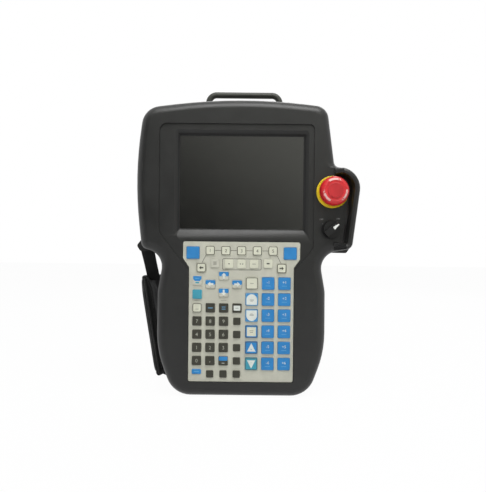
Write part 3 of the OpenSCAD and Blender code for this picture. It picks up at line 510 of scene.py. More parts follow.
card = add_card("black_card", [(-2.3, 0, -1.85), (1.9, 0, -1.85), (1.9, 0, 1.9), (-2.3, 0, 1.9)])
card.location = (0, -1.0, 0)
card.visible_camera = card.visible_diffuse = card.visible_shadow = card.visible_transmission = False
material, tree, shader = new_material("black_card")
spot = axes_of(tree, place_of(tree))
rise = times(tree, calc(tree, "SUBTRACT", spot["Z"], 0.34), 0.78)
fade = ramp_of(tree, times(tree, spot["X"], 0.62, rise), -0.24, 0.3)
set_inputs(tree, shader, {
    "Emission Color": blend_colours(tree, fade, paint(0, 0, 0), paint(252, 253, 243)),
    "Emission Strength": 1,
    "Base Color": (0.005, 0.005, 0.005, 1),
    "Roughness": 1,
    "Specular IOR Level": 0,
})
card.data.materials.append(material)
print("card at", tuple(card.location))

# %% [markdown]
# The key sheet is a printed plastic film. Its ground is a warm pale grey with a silky grain, and
# every printed colour is a thin coat with the same gloss. A slight drift keeps large areas from
# looking flat, and the blue, teal and dark keys are rubbed pale at their edges.


# %% Sheet and inks
def printed(name, levels, wear=0.0):
    tree, shader, colour = new_finish(name, levels)
    smudges = place_group(tree, SMUDGES, Size=0.022)[0]
    if wear:
        body = worn_and_highlit_paint(tree, colour, smudges, (0.06, 0.06), 0.0006, wear, paint(205, 205, 196))
    else:
        body = blend_colours(tree, smudges, shade_of(colour, 0.94), shade_of(colour, 1.06))
    set_inputs(tree, shader, {
        "Base Color": body,
        "Roughness": span(tree, smudges, 0.38, 0.5),
        "Specular IOR Level": 0.3,
        "Normal": bump_of(tree, place_group(tree, GRAIN, Size=0.0004)[0], 0.000008),
    })


for name, levels in (("key_sheet", (190, 189, 174)), ("key_pale", (208, 208, 188)),
                     ("ink_white", (214, 218, 210)), ("ink_line", (78, 77, 68)),
                     ("ink_sky", (112, 172, 210)), ("ink_legend", (150, 150, 148)),
                     ("ink_digit", (168, 168, 154)), ("cap_white", (226, 178, 170))):
    printed(name, levels)
for name, levels in (("key_blue", (44, 128, 190)), ("key_teal", (62, 150, 170)), ("ink_dark", (58, 57, 48))):
    printed(name, levels, wear=0.5)
print("inks", [name for name in finishes if name.startswith("ink")])

# %% [markdown]
# Each carried-over node takes the finish that its slot names. Only the arrow keys and the two page
# keys differ: they have no colour of their own, so they're dressed like the sheet.

# %% Dress the solid nodes
dressed = 0
for name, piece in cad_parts.items():
    for socket in piece.material_slots:
        base = socket.material.name.split(".")[0] if socket.material else ""
        if base in finishes:
            same_as_sheet = name.startswith("key_arrow") or name in ("key_previous", "key_next")
            socket.material = finishes["key_sheet" if same_as_sheet else base]
            dressed += 1
        else:
            print("no finish for", name, base)
print("dressed", dressed)

# %% [markdown]
# Each printed mark is a thin flat patch cut to its shape, a few hundredths of a millimetre above
# what it is printed on, so it stays sharp close up and moves with its key. A Print gathers patches
# in several inks and ends up as one piece. The keys are embossed: a shell over each one gives it a
# flat face and a rim that rolls down into the sheet.

# %% Helpers that cut outlines and lay ink
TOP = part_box("key_run_1")[0][1] / MM
SHEET_LOW, SHEET_HIGH = box_mm("key_sheet")
SHEET_Y = TOP + 1.1
LAYER = 0.02
FACE = TOP - 0.14
COAT, SECOND_COAT = FACE - LAYER, FACE - 2 * LAYER
RIM = ((0.07, 0.6), (0.07, 0.22), (-0.04, 0.03), (-0.26, -0.09), (-0.6, -0.14))
DIGIT_TALL, DIGIT_MIDDLE = 0.73, 0.36


def polar(x, z, radius, degrees):
    a = math.radians(degrees)
    return x + radius * math.cos(a), z + radius * math.sin(a)


def box_outline(x, z, width, height, radius, steps=4):
    radius = max(0.05, min(radius, width / 2 - 0.01, height / 2 - 0.01))
    across, up = width / 2 - radius, height / 2 - radius
    return [polar(x + side * across, z + way * up, radius, 90 * (turn + k / steps))
            for turn, (side, way) in enumerate(((1, 1), (-1, 1), (-1, -1), (1, -1))) for k in range(steps + 1)]


def disc_outline(x, z, radius, steps=32, start=0, turn=360):
    return [polar(x, z, radius, start + turn * k / steps) for k in range(steps)]


def new_ring(bm, points):
    return [bm.verts.new([c * MM for c in point]) for point in points]


def flat_ring(bm, outline, y):
    return new_ring(bm, [(x, y, z) for x, z in outline])


def join_rings(bm, rings, start=False, end=False, ink=0):
    """Faces from each closed ring of vertices to the next, and over the ends that are asked for."""
    faces = [bm.faces.new((low[k], low[(k + 1) % len(low)], high[(k + 1) % len(low)], high[k]))
             for low, high in zip(rings, rings[1:]) for k in range(len(low))]
    if start:
        faces.append(bm.faces.new(rings[0][::-1]))
    if end:
        faces.append(bm.faces.new(rings[-1]))
    for face in faces:
        face.material_index = ink
    return faces


def face_front(face):
    face.normal_update()
    if face.normal.y > 0:
        face.normal_flip()


def mesh_object(bm, name, materials=(), closed=False):
    if closed:
        bmesh.ops.recalc_face_normals(bm, faces=bm.faces)
    mesh = bpy.data.meshes.new(name)
    bm.to_mesh(mesh)
    bm.free()
    for material in materials:
        mesh.materials.append(material)
    return add_object(name, mesh)


def dress_piece(made, body=CASE):
    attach(made, body)


def glyph_shape(words):
    """Points and faces of a word in the standard font, one unit of type high."""
    curve = bpy.data.curves.new("glyph", "FONT")
    curve.body = words
    curve.align_x = "CENTER"
    curve.resolution_u = 3
    holder = bpy.data.objects.new("glyph", curve)
    mesh = holder.to_mesh()
    points, faces = [tuple(v.co[:2]) for v in mesh.vertices], [list(p.vertices) for p in mesh.polygons]
    holder.to_mesh_clear()
    bpy.data.objects.remove(holder)
    bpy.data.curves.remove(curve)
    return points, faces


class Print:
    """Patches of ink that become one piece. Where no depth y is given they lie on a key's face."""

    def __init__(self):
        self.bm = bmesh.new()
        self.inks = []

    def number(self, ink):
        """Which of the piece's materials an ink is. Inks go by their names without key_ or ink_."""
        full = next(name for name in ("key_" + ink, "ink_" + ink, ink) if name in finishes)
        if full not in self.inks:
            self.inks.append(full)
        return self.inks.index(full)

    def lay(self, outline, ink, y=COAT):
        self.bm.faces.new(flat_ring(self.bm, outline, y)).material_index = self.number(ink)

    def band(self, outer, inner, ink, y=COAT):
        rings = [flat_ring(self.bm, outline, y) for outline in (outer, inner)]
        join_rings(self.bm, rings, ink=self.number(ink))

    def line(self, start, end, width, ink, y):
        along = Vector((end[0] - start[0], end[1] - start[1]))
        side = Vector((along.y, -along.x)).normalized() * width / 2
        self.lay([(spot[0] + way * side.x, spot[1] + way * side.y)
                  for spot, way in ((start, 1), (end, 1), (end, -1), (start, -1))], ink, y)

    def glyph(self, words, x, z, height, ink, y=COAT):
        points, faces = glyph_shape(words)
        size = height / DIGIT_TALL
        corners = new_ring(self.bm, [(x + u * size, y, z + (v - DIGIT_MIDDLE) * size) for u, v in points])
        for face in faces:
            made = self.bm.faces.new([corners[k] for k in face])
            face_front(made)
            made.material_index = self.number(ink)

    def shell(self, x, z, ink, width, height=None):
        height = height or width
        rings = []
        for grow, lift in RIM:
            outline = box_outline(x, z, width + 2 * grow, height + 2 * grow, 1.2 + grow)
            rings.append(flat_ring(self.bm, outline, TOP + lift))
        join_rings(self.bm, rings, end=True, ink=self.number(ink))

    def frame(self, x, z, width, height=None, ink="line", thick=0.7):
        height = height or width
        outer, inner = 0.5, 0.5 + 2 * thick
        self.band(box_outline(x, z, width - outer, height - outer, 1.4),
                  box_outline(x, z, width - inner, height - inner, 1.0), ink)

    def bar(self, x, z, width, ink, height=0.5, y=SECOND_COAT):
        self.lay(box_outline(x, z, width, height, height / 2, 3), ink, y)

    def arrow(self, x, z, size, turn, ink):
        half = [(0.5, 0.0), (0.02, 0.42), (0.02, 0.16), (-0.5, 0.16)]
        shape = half + [(u, -v) for u, v in half[:0:-1]]
        c, s = math.cos(math.radians(turn)), math.sin(math.radians(turn))
        self.lay([(x + size * (u * c - v * s), z + size * (u * s + v * c)) for u, v in shape], ink, SECOND_COAT)

    def finish(self, name, slot, body=CASE, smooth=True):
        made = mesh_object(self.bm, name, [finishes[ink] for ink in self.inks])
        if smooth:
            soften(made, 50)
        dress_piece(made, body)


print("key tops at", round(TOP, 2), "mm, sheet at", round(SHEET_Y, 2))

# %% [markdown]
# Each key that presses gets its own piece, which rides the key. The signs are plain ones: a signed
# number over a bar on the jog keys, arrows, and frames with arches, triangles and bars.


# %% Moving key faces
def run_sign(face, x, z, size, row):
    half = size / 2
    way = 1 if row in (2, 5) else -1
    if row == 1:
        face.frame(x, z, size)
        face.bar(x, z, 3.6, "line", 0.4)
    elif row in (2, 3):
        edge = half - 0.95
        arch = disc_outline(x, z + way * 0.1, edge, 20, 0 if way > 0 else 180, 180 * 20 / 19)
        face.lay(arch + [(x - way * edge, z - way * edge), (x + way * edge, z - way * edge)], "white")
        face.frame(x, z, size, ink="sky", thick=0.55)
        face.bar(x, z - 0.5 * way, 4.6, "line", 0.5)
        face.bar(x, z - 1.7 * way, 3.2, "line", 0.4)
    elif row == 4:
        face.lay(box_outline(x, z, size - 3.4, size - 3.4, 0.5), "pale")
        face.frame(x, z, size, thick=0.5)
        face.bar(x, z + 1, 4.4, "line", 0.45)
        face.bar(x, z - 0.6, 3.4, "line", 0.45)
    else:
        foot_x, foot_z = way * (half - 2.0), z - way * (half - 2.6)
        face.lay([(x, z + way * (half - 1.6)), (x - foot_x, foot_z), (x + foot_x, foot_z)], "white")
        face.frame(x, z, size, thick=0.5)
        sign, tone = ("+", "blue") if way > 0 else ("-", "teal")
        face.glyph(sign, x, z - way * 1.7, 2.6, tone, SECOND_COAT)


KEY_MARGIN = 1.6
ARROW_TURN = {"up": 90, "left": 180, "right": 0, "down": 270}
RUN_INK = {"1": "pale", "6": "teal"}
moving_keys = sorted(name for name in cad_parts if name.startswith("key_") and name != "key_sheet")
for name in moving_keys:
    low, high = box_mm(name)
    x, z = middle_mm(name)
    width, height = high[0] - low[0] - KEY_MARGIN, high[2] - low[2] - KEY_MARGIN
    face = Print()
    kind, row = name[4:], name[-1]
    tone = slot = "blue"
    if kind in ("previous", "next"):
        tone = slot = "pale"
        face.frame(x, z, width, height)
        face.arrow(x, z, 4.6, 180 if kind == "previous" else 0, "line")
    elif kind.startswith("arrow"):
        tone, slot = "sheet", "pale"
        face.lay(box_outline(x, z + 1.6, width + 0.3, height - 4.6, 1.4), "blue")
        face.arrow(x, z - 0.2, 6.2, ARROW_TURN[kind[6:]], "white")
        face.bar(x, z - height / 2 + 0.7, 1.6, "line", 0.35, COAT)
    elif kind.startswith("run"):
        tone = slot = RUN_INK.get(row, "blue")
        run_sign(face, x, z, width, int(row))
    elif kind.startswith("jog"):
        face.glyph(("-" if "minus" in kind else "+") + row, x + 0.1, z + 1.5, 3.1, "white")
        face.bar(x, z - 2.5, 5.4, "sky", 0.45, COAT)
    face.shell(x, z, tone, width, height)
    face.finish(name + "_face", "key_" + slot, name)
print("moving keys", len(moving_keys))

# %% [markdown]
# The other keys are part of the sheet, so their shells form one piece. The top row is a set of
# numbered soft keys, and three pale keys sit under it. The number block has pale digits on
# near-black keys, with a column of small blank keys to its right and a row of them below.

# %% Keys that belong to the sheet
KEY, PALE_KEY, BLANK_KEY = 10, 9, 7.9
SOFT_PITCH, BOX_PITCH, EDGE_X = 16.6, 13.2, 28.1
LEFT_X, COLUMN_PITCH, ROW_PITCH = -46.5, 14.05, 13.94
top_edge, bottom_edge = SHEET_HIGH[2], SHEET_LOW[2]
soft_z, box_z, edge_z = top_edge - 9.3, top_edge - 23.3, top_edge - 22.7
jog_z = top_edge - 43.7
keys = Print()
for k in range(5):
    x = (k - 2) * SOFT_PITCH
    keys.shell(x, soft_z, "pale", KEY)
    keys.frame(x, soft_z, KEY)
    keys.glyph(str(k + 1), x, soft_z, 3.6, "line")
for x in (-BOX_PITCH, 0, BOX_PITCH):
    keys.shell(x, box_z, "pale", PALE_KEY)
for x, width in ((-BOX_PITCH, 1.6), (-1.2, 1.2), (1.2, 1.2)):
    keys.bar(x, box_z, width, "dark", 1.0, COAT)
keys.bar(BOX_PITCH, box_z, 3.4, "line", 0.4, COAT)
for x, tone in ((-EDGE_X, "sheet"), (EDGE_X, "pale")):
    keys.shell(x, edge_z, tone, PALE_KEY)
for lift in (1.2, 0, -1.2):
    keys.bar(-EDGE_X, edge_z + lift, 3.4, "line", 0.45, COAT)
keys.bar(EDGE_X, edge_z, 3.4, "line", 1.4, COAT)

keys.shell(LEFT_X, jog_z + 2.8, "sheet", KEY)
tab = [(-4.4, 7.2), (-4.4, 4.0), (-2.6, 1.9), (2.6, 1.9), (4.4, 4.0), (4.4, 7.2)]
keys.lay([(LEFT_X + u, jog_z + v) for u, v in tab], "blue")
keys.bar(LEFT_X, jog_z + 4.9, 4.6, "sky", 0.5)
keys.bar(LEFT_X, jog_z + 0.2, 4.4, "teal", 1.6, COAT)
keys.shell(LEFT_X, jog_z - 12, "teal", KEY)

columns = [LEFT_X + COLUMN_PITCH * k for k in range(4)]
rows = [bottom_edge + 78 - ROW_PITCH * k for k in range(6)]
for k, x in enumerate(columns):
    keys.shell(x, rows[0], "dark" if k else "pale", KEY)
keys.frame(columns[0], rows[0], KEY)
keys.bar(columns[0], rows[0] - 1.4, 3.4, "line", 0.4)
keys.bar(columns[1], rows[0], 5.2, "sky", 0.7, COAT)
for lift in (1.1, -1.1):
    keys.bar(columns[2], rows[0] + lift, 4.2, "sky", 0.6, COAT)
keys.lay(box_outline(columns[3], rows[0], 7, 5.2, 0.6), "white")
keys.bar(columns[3], rows[0], 3.2, "line", 0.45)
for z, words in zip(rows[1:], ("789", "456", "123", "0. ")):
    for x, word in zip(columns, words):
        keys.shell(x, z, "dark", KEY)
        if word == ".":
            keys.lay(disc_outline(x, z - 1.2, 0.55, 16), "digit")
        elif word != " ":
            keys.glyph(word, x, z, 3.8, "digit")
    keys.shell(columns[3], z, "dark", BLANK_KEY)
keys.lay(box_outline(columns[2], rows[4] + 2.35, 9.1, 4.4, 0.9), "blue")
keys.bar(columns[2], rows[4] - 2.4, 3.0, "white", 0.5)
for x in columns[1:]:
    keys.shell(x, rows[5], "dark", BLANK_KEY)
keys.shell(LEFT_X, rows[5] + 2.4, "blue", KEY, 5.3)
keys.bar(LEFT_X, rows[5] + 2.4, 5.2, "sky", 0.5, COAT)
keys.finish("sheet_key_faces", "key_sheet")
print("sheet keys from", round(rows[5], 1), "to", round(soft_z, 1))

# %% [markdown]
# Printed lines tie the soft keys together and to the two page keys, and a ruled box frames the
# three pale keys.

# %% Lines on the sheet
INK_Y = SHEET_Y - LAYER
lines = Print()
for k in range(4):
    x = (k - 2) * SOFT_PITCH
    lines.line((x + 5.1, soft_z), (x + 11.5, soft_z), 0.5, "line", INK_Y)
for side in (-1, 1):
    ends = [(side * 37.8, soft_z - 5.2), (side * 41.8, top_edge - 22.5)]
    lines.line(*ends[::side], 0.5, "line", INK_Y)
lines.band(box_outline(0.4, top_edge - 23.8, 41.4, 12.2, 1.6),
           box_outline(0.4, top_edge - 23.8, 40.4, 11.2, 1.2), "line", INK_Y)
for x in (LEFT_X, -18.5):
    lines.line((x - 3, jog_z - 18.4), (x + 3, jog_z - 18.4), 0.3, "line", INK_Y)
lines.finish("sheet_lines", "key_sheet", smooth=False)
print("sheet lines done")

# %% [markdown]
# The stop button's cap has a darker centre disc and curved arrows that show which way it turns
# free. They lie on a curved shoulder, so each corner is dropped along the button's axis until it
# meets the solid, and stays a hair above it.


# %% Signs on the stop button
def surface_of(piece):
    mesh = piece.data
    return BVHTree.FromPolygons([v.co.copy() for v in mesh.vertices], [list(p.vertices) for p in mesh.polygons])


def drop_on(skin, x, z, lift=0.03):
    spot = skin.ray_cast(Vector((x, -80, z)) * MM, Vector((0, 1, 0)))[0]
    return x, spot.y / MM - lift, z


cap_x, cap_z = middle_mm("estop_cap")
cap_skin = surface_of(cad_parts["estop_cap"])
MID_RADIUS = 11.9
arrows = Print()
white = arrows.number("cap_white")


def across_cap(degrees, *radii):
    return new_ring(arrows.bm, [drop_on(cap_skin, *polar(cap_x, cap_z, radius, degrees)) for radius in radii])


for start in (124, 4, -116):
    strip = [across_cap(start - 6 * k, 10.6, MID_RADIUS, 13.0) for k in range(9)]
    head = [across_cap(start - 48, 9.7, MID_RADIUS, 13.7), across_cap(start - 56, 10.8, MID_RADIUS, 12.9)]
    tip = across_cap(start - 68, MID_RADIUS)[0]
    for first, second in [*zip(strip, strip[1:]), head]:
        for k in range(2):
            arrows.bm.faces.new((first[k], first[k + 1], second[k + 1], second[k]))
    for k in range(2):
        arrows.bm.faces.new((head[1][k], head[1][k + 1], tip))
bmesh.ops.recalc_face_normals(arrows.bm, faces=arrows.bm.faces)
for face in arrows.bm.faces:
    face.material_index = white
    face_front(face)
arrows.finish("estop_arrows", "pointer_white", "estop_cap")

DISC_RIM = ((7.95, 0.7), (7.9, -0.2), (7.7, -0.42), (7.3, -0.5), (4.5, -0.42), (2.0, -0.36))
disc = Print()
face_y = drop_on(cap_skin, cap_x, cap_z, 0)[1]
rings = [flat_ring(disc.bm, disc_outline(cap_x, cap_z, radius, 48), face_y + lift) for radius, lift in DISC_RIM]
join_rings(disc.bm, rings, end=True, ink=disc.number("cap_centre"))
disc.finish("estop_centre", "estop_red", "estop_cap")
print("cap centre at", round(cap_x, 1), round(cap_z, 1))

# %% [markdown]
# The selector has two words beside it, ON and OFF, small and grey, printed on the case. A short
# tick at each word shows where the pointer comes to rest.

# %% Legends at the selector
knob_x, knob_z = middle_mm("enable_knob")
case_skin = surface_of(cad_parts["front_housing"])
legend_y = drop_on(case_skin, knob_x - 13, knob_z, 0.02)[1]
legends = Print()
legends.glyph("OFF", knob_x - 9.9, knob_z + 10.9, 1.7, "legend", legend_y)
legends.glyph("ON", knob_x + 7.6, knob_z + 11.6, 1.7, "legend", legend_y)
for degrees in (145, 50):
    ends = [polar(knob_x, knob_z, radius, degrees) for radius in (9.6, 11)]
    legends.line(*ends, 0.5, "legend", legend_y)
legends.finish("knob_legends", "pointer_white", smooth=False)
print("legends at depth", round(legend_y, 2))

# %% [markdown]
# A thin black strip lies between the glass and the bevel round it, on the bevel's slope. At the
# foot, where the bevel catches the light, it is only a hairline of seal. At the sides and the top
# it is wide, and there it is painted shade: black where those faces of the bevel lie in shadow.

# %% Seal and painted shade round the screen
SCREEN_X, SCREEN_Z, SCREEN_W, SCREEN_H = -0.7, 227.4, 131.6, 99.4
BEVEL_SIDE, BEVEL_FOOT, BEVEL_HEAD = 5.3, 7.6, 5.7
# The wide share is painted shade on the top and side bevels; the hairline is the seal alone at the lit foot.
SEAL_AND_SHADE_START, SEAL_AND_SHADE_WIDE, SEAL_HAIRLINE = 0.02, 0.36, 0.07


def bevel_corner(right, up, share):
    """A point on the mitre of the bevel, share of the way from the glass to the panel."""
    x = SCREEN_X + right * (SCREEN_W / 2 + BEVEL_SIDE * share)
    z = SCREEN_Z + up * (SCREEN_H / 2 + (BEVEL_HEAD if up > 0 else BEVEL_FOOT) * share)
    return drop_on(case_skin, x, z, 0.05)


seal_and_shade = Print()
turns = [(-1, -1), (-1, 1), (1, 1), (1, -1)]
for k, here in enumerate(turns):
    after = turns[(k + 1) % 4]
    # Painted shade: wide on the shaded top and sides, a hairline on the lit foot.
    share = SEAL_HAIRLINE if k == 3 else SEAL_AND_SHADE_WIDE
    corners = [bevel_corner(*here, SEAL_AND_SHADE_START), bevel_corner(*after, SEAL_AND_SHADE_START),
               bevel_corner(*after, share), bevel_corner(*here, share)]
    face = seal_and_shade.bm.faces.new(new_ring(seal_and_shade.bm, corners))
    face.material_index = seal_and_shade.number("seal_rubber")
    face_front(face)
seal_and_shade.finish("screen_seal_and_shade", "seal_rubber", smooth=False)
print("seal on the bevel")

# %% [markdown]
# The selector's pointer is a small raised wedge, wide near the middle of the knob and narrow at its
# rim. It stands in for the plain bar of the solids, and turns with the knob.

# %% Pointer
WEDGE_START, WEDGE_END = (1.6, 1.75), (8.4, 0.55)
bar_top = box_mm("enable_pointer")[0][1]
pointer_x, pointer_z = middle_mm("enable_pointer")
turn = math.atan2(pointer_z - knob_z, pointer_x - knob_x)
bm = bmesh.new()
rings = []
for inset, depth in ((0, 0.35), (0, -0.1), (0.22, -0.28)):
    near, wide = WEDGE_START[0] + inset, WEDGE_START[1] - inset
    far, slim = WEDGE_END[0] - inset * 2, WEDGE_END[1] - inset / 3
    corners = [(near, wide), (near, -wide), (far, -slim), (far, slim)]
    rings.append(new_ring(bm, [(knob_x + u * math.cos(turn) - v * math.sin(turn), bar_top + depth,
                                knob_z + u * math.sin(turn) + v * math.cos(turn)) for u, v in corners]))
join_rings(bm, rings, start=True, end=True)
wedge = mesh_object(bm, "pointer_wedge", [finishes["pointer_white"]], closed=True)
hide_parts("enable_pointer")
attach(wedge, "enable_knob")
print("pointer at", round(math.degrees(turn)), "degrees")

# %% [markdown]
# The hand strap is a padded grip. It begins as a lofted block that follows the case's side, a
# little thin. It is remeshed into even cells and inflated with a cloth simulation, with a cap on
# how far any point may move. The modifiers are applied, so what stays is a plain mesh.


# %% The padded grip
pad_low, pad_high = box_mm("strap_pad")
PAD_Z0, PAD_Z1, PAD_FRONT, PAD_THICK = pad_low[2], pad_high[2], 8, 13.0
TURN_START, TURN_POWER, TURN_SLOPE = 0.22, 1.7, 1 / 45
CELL, CLOTH_STEPS = 0.0024, 20


def pad_centre(t):
    return -(89.5 + 19.5 * t ** 0.95)


def pad_bend(t, across):
    """How far the grip turns in behind the case, and how steeply. across runs 0 to 1, front to rear."""
    reach, run = 9 + 10 * t, 1 - TURN_START
    past = max(0, across - TURN_START) / run
    return reach * past ** TURN_POWER, reach * TURN_POWER * past ** (TURN_POWER - 1) / run * TURN_SLOPE


def ease(t):
    t = max(0, min(1, t))
    return t * t * (3 - 2 * t)


def pad_section(t):
    """Centre x, height z, half thickness and width of the grip at t, from its lower to its upper end."""
    end = math.sqrt(max(1 - abs(2 * t - 1) ** 8, 0.12))
    width = 48 * (0.62 + 0.38 * ease(3 * t)) * (0.9 + 0.1 * end)
    return pad_centre(t), PAD_Z0 + (PAD_Z1 - PAD_Z0) * t, PAD_THICK / 2 * (0.55 + 0.45 * end), width


def pad_block(shrink, steps=30, around=28):
    bm = bmesh.new()
    rings = []
    for k in range(steps + 1):
        t = k / steps
        x, z, half, width = pad_section(t)
        half = half * 0.93 - shrink
        z += (shrink + 0.4) * (1 - 2 * t)
        ring = []
        for q in range(around):
            a = 2 * math.pi * q / around
            c, s = math.cos(a), math.sin(a)
            u = math.copysign(abs(s) ** 0.55, s)
            crown = 1 - 0.22 * abs(u) ** 3
            shift, slope = pad_bend(t, (u + 1) / 2)
            thick = half * math.copysign(abs(c) ** 0.6, c) * crown * math.hypot(1, slope)
            ring.append((x + shift + thick, PAD_FRONT + width / 2 + (width / 2 - shrink) * u, z))
        rings.append(new_ring(bm, ring))
    join_rings(bm, rings, start=True, end=True)
    return mesh_object(bm, "hand_pad", closed=True)


def evaluated_mesh(piece):
    return bpy.data.meshes.new_from_object(piece.evaluated_get(bpy.context.evaluated_depsgraph_get()))


def apply_modifiers(piece):
    mesh = evaluated_mesh(piece)
    piece.modifiers.clear()
    piece.data = mesh


def smooth_all(mesh):
    mesh.polygons.foreach_set("use_smooth", [True] * len(mesh.polygons))


def move_points(mesh, points):
    mesh.vertices.foreach_set("co", points.astype(np.float32).ravel())
    mesh.update()


def puff(piece, pressure, cap):
    """Inflates a piece and moves no point further than the cap. Returns the furthest move before it."""
    remesh = piece.modifiers.new("cells", "REMESH")
    remesh.mode = "VOXEL"
    remesh.voxel_size = CELL
    apply_modifiers(piece)
    before = np.array([v.co[:] for v in piece.data.vertices])
    cloth = piece.modifiers.new("cloth", "CLOTH")
    cloth.settings.use_pressure = True
    cloth.settings.uniform_pressure_force = pressure
    cloth.settings.effector_weights.gravity = 0
    cloth.settings.tension_stiffness = cloth.settings.compression_stiffness = 20
    cloth.settings.bending_stiffness = 0.6
    for step in range(CLOTH_STEPS):
        scene.frame_set(step + 1)
    apply_modifiers(piece)
    scene.frame_set(1)
    move = np.array([v.co[:] for v in piece.data.vertices]) - before
    move -= move.mean(axis=0)
    length = np.linalg.norm(move, axis=1, keepdims=True)
    move_points(piece.data, before + move * np.minimum(1, cap / np.maximum(length, 1e-9)))
    return float(length.max())


pad = pad_block(0.6)
moved = puff(pad, 4, 0.0016)
subdivision = pad.modifiers.new("soft", "SUBSURF")
subdivision.levels = subdivision.render_levels = 1
apply_modifiers(pad)
smooth_all(pad.data)
print("pad faces", len(pad.data.polygons), "furthest move mm", round(moved / MM, 2))

# %% [markdown]
# Seams come after the simulation, because remeshing would erase them. Points near each line of
# stitching sink a little, a round piping goes on the edge, and every stitch is a small thread.

# %% Channels, piping and stitches
CHANNEL_U, CHANNEL_T, CHANNEL_DEPTH = 0.78, 0.05, 0.7
STITCH_PITCH, THREAD = 3.4, 0.32
spots = []
pad_points = np.array([v.co[:] for v in pad.data.vertices]) / MM
for x, y, z in pad_points:
    t = min(1, max(0, (z - PAD_Z0) / (PAD_Z1 - PAD_Z0)))
    centre, _, _, width = pad_section(t)
    u = (y - PAD_FRONT) / (width / 2) - 1
    spots.append((t, u, x - centre - pad_bend(t, (u + 1) / 2)[0]))
t, u, offset = np.array(spots).T
dip = np.zeros(len(t))
for way in (-1, 1):
    along = np.exp(-((u - way * CHANNEL_U) / 0.045) ** 2) * (np.abs(t - 0.5) < 0.5 - CHANNEL_T)
    end = np.exp(-((t - 0.5 - way * (0.5 - CHANNEL_T)) / 0.014) ** 2) * (np.abs(u) < CHANNEL_U)
    dip = np.maximum(dip, np.maximum(along, end))
pad_points[:, 0] -= np.sign(offset) * dip * CHANNEL_DEPTH
move_points(pad.data, pad_points * MM)
pad_skin = surface_of(pad)


def rim_point(t, u, inset, lift=0.0):
    """A point in the middle of the grip's thickness, u across it from -1 to 1."""
    x, z, _, width = pad_section(t)
    return x + pad_bend(t, (u + 1) / 2)[0], PAD_FRONT + width / 2 + (width / 2 - inset) * u, z + lift


def rim_path(count=90):
    """A closed path round the edge of the grip, made even by averaging."""
    side = [0.04 + 0.92 * k / (count - 1) for k in range(count)]
    turn = [polar(0, 0, 1, 90 * (1 - k / 8)) for k in range(1, 16)]
    path = [rim_point(t, -1, 0.9) for t in side]
    path += [rim_point(0.985, -s, 1, 1.6 * c - 2.2) for c, s in turn]
    path += [rim_point(t, 1, 0.9) for t in side[::-1]]
    path += [rim_point(0.015, s, 1, 2.2 - 1.6 * c) for c, s in turn]
    for _ in range(8):
        path = [tuple((before[c] + 2 * here[c] + after[c]) / 4 for c in range(3))
                for before, here, after in zip(path[-1:] + path[:-1], path, path[1:] + path[:1])]
    return path


def piping(name, points, radius):
    """A round cord along a closed path."""
    curve = bpy.data.curves.new(name, "CURVE")
    curve.dimensions = "3D"
    curve.bevel_depth = radius * MM
    curve.bevel_resolution = 2
    spline = curve.splines.new("POLY")
    spline.points.add(len(points) - 1)
    for spot, point in zip(spline.points, points):
        spot.co = (*[c * MM for c in point], 1)
    spline.use_cyclic_u = True
    curve.materials.append(finishes["piping"])
    holder = add_object(name, curve)
    mesh = evaluated_mesh(holder)
    mesh.name = name
    bpy.data.objects.remove(holder)
    smooth_all(mesh)
    dress_piece(add_object(name, mesh))


def stitches(name, path, side):
    """Short threads along a path of (t, u) on the outer (side -1) or inner (side 1) face of the grip."""
    bm = bmesh.new()
    spots = []
    for t, u in path:
        x, z, _, width = pad_section(t)
        start = Vector((x + side * 30, PAD_FRONT + width / 2 * (1 + u), z)) * MM
        spot, normal, _, _ = pad_skin.ray_cast(start, Vector((-side, 0, 0)))
        if spot is not None:
            spots.append((spot, normal))
    gone = 0.0
    for (a, normal), (b, _) in zip(spots, spots[1:]):
        gone += (b - a).length / MM
        if gone < STITCH_PITCH:
            continue
        gone = 0.0
        along, out = (b - a).normalized(), normal.normalized()
        across = along.cross(out).normalized()
        rings = []
        for k in range(7):
            s = k / 6 * 2 - 1
            radius = THREAD * math.sqrt(max(0.0, 1 - s ** 6)) + 0.02
            centre = b / MM + along * (s * STITCH_PITCH * 0.34) + out * (0.12 * (1 - s * s) + 0.05)
            spokes = disc_outline(0, 0, radius, 6)
            rings.append(new_ring(bm, [centre + across * c + out * d for c, d in spokes]))
        join_rings(bm, rings)
    made = mesh_object(bm, name, [finishes["thread"]], closed=True)
    smooth_all(made.data)
    dress_piece(made)


# %% [markdown]
# The cover is a dull black knit and the webbing a tight weave. Piping and thread are a little
# paler, so that the stitching reads. The fuzz that catches light at grazing angles is the sheen.


# %% Cloth finishes
def cloth(name, levels, group, per_metre, depth):
    tree, shader, colour = new_finish(name, levels)
    weave = place_group(tree, group, **per_metre)
    dusty = place_group(tree, DUST, Amount=0.2)[0]
    # Painted shade: the gaps between yarns drop to about a third of the yarn's colour.
    yarn_with_gap_shade = blend_colours(tree, weave["Shade"], shade_of(colour, 0.35), colour)
    set_inputs(tree, shader, {
        "Base Color": blend_colours(tree, dusty, yarn_with_gap_shade, paint(92, 90, 84)),
        "Roughness": span(tree, place_group(tree, SMUDGES, Size=0.03)[0], 0.75, 0.95),
        "Specular IOR Level": 0.25,
        "Sheen Weight": 0.15,
        "Normal": bump_of(tree, weave["Height"], depth),
    })


cloth("webbing", (22, 22, 22), TAPE, {"Yarns_per_metre": 900}, 0.00025)
cloth("pad_fabric", (24, 24, 24), KNIT, {"Loops_per_metre": 800}, 0.00012)
cloth("piping", (48, 48, 47), KNIT, {"Loops_per_metre": 1100}, 0.00008)
cloth("thread", (66, 66, 64), KNIT, {"Loops_per_metre": 1500}, 0.00005)

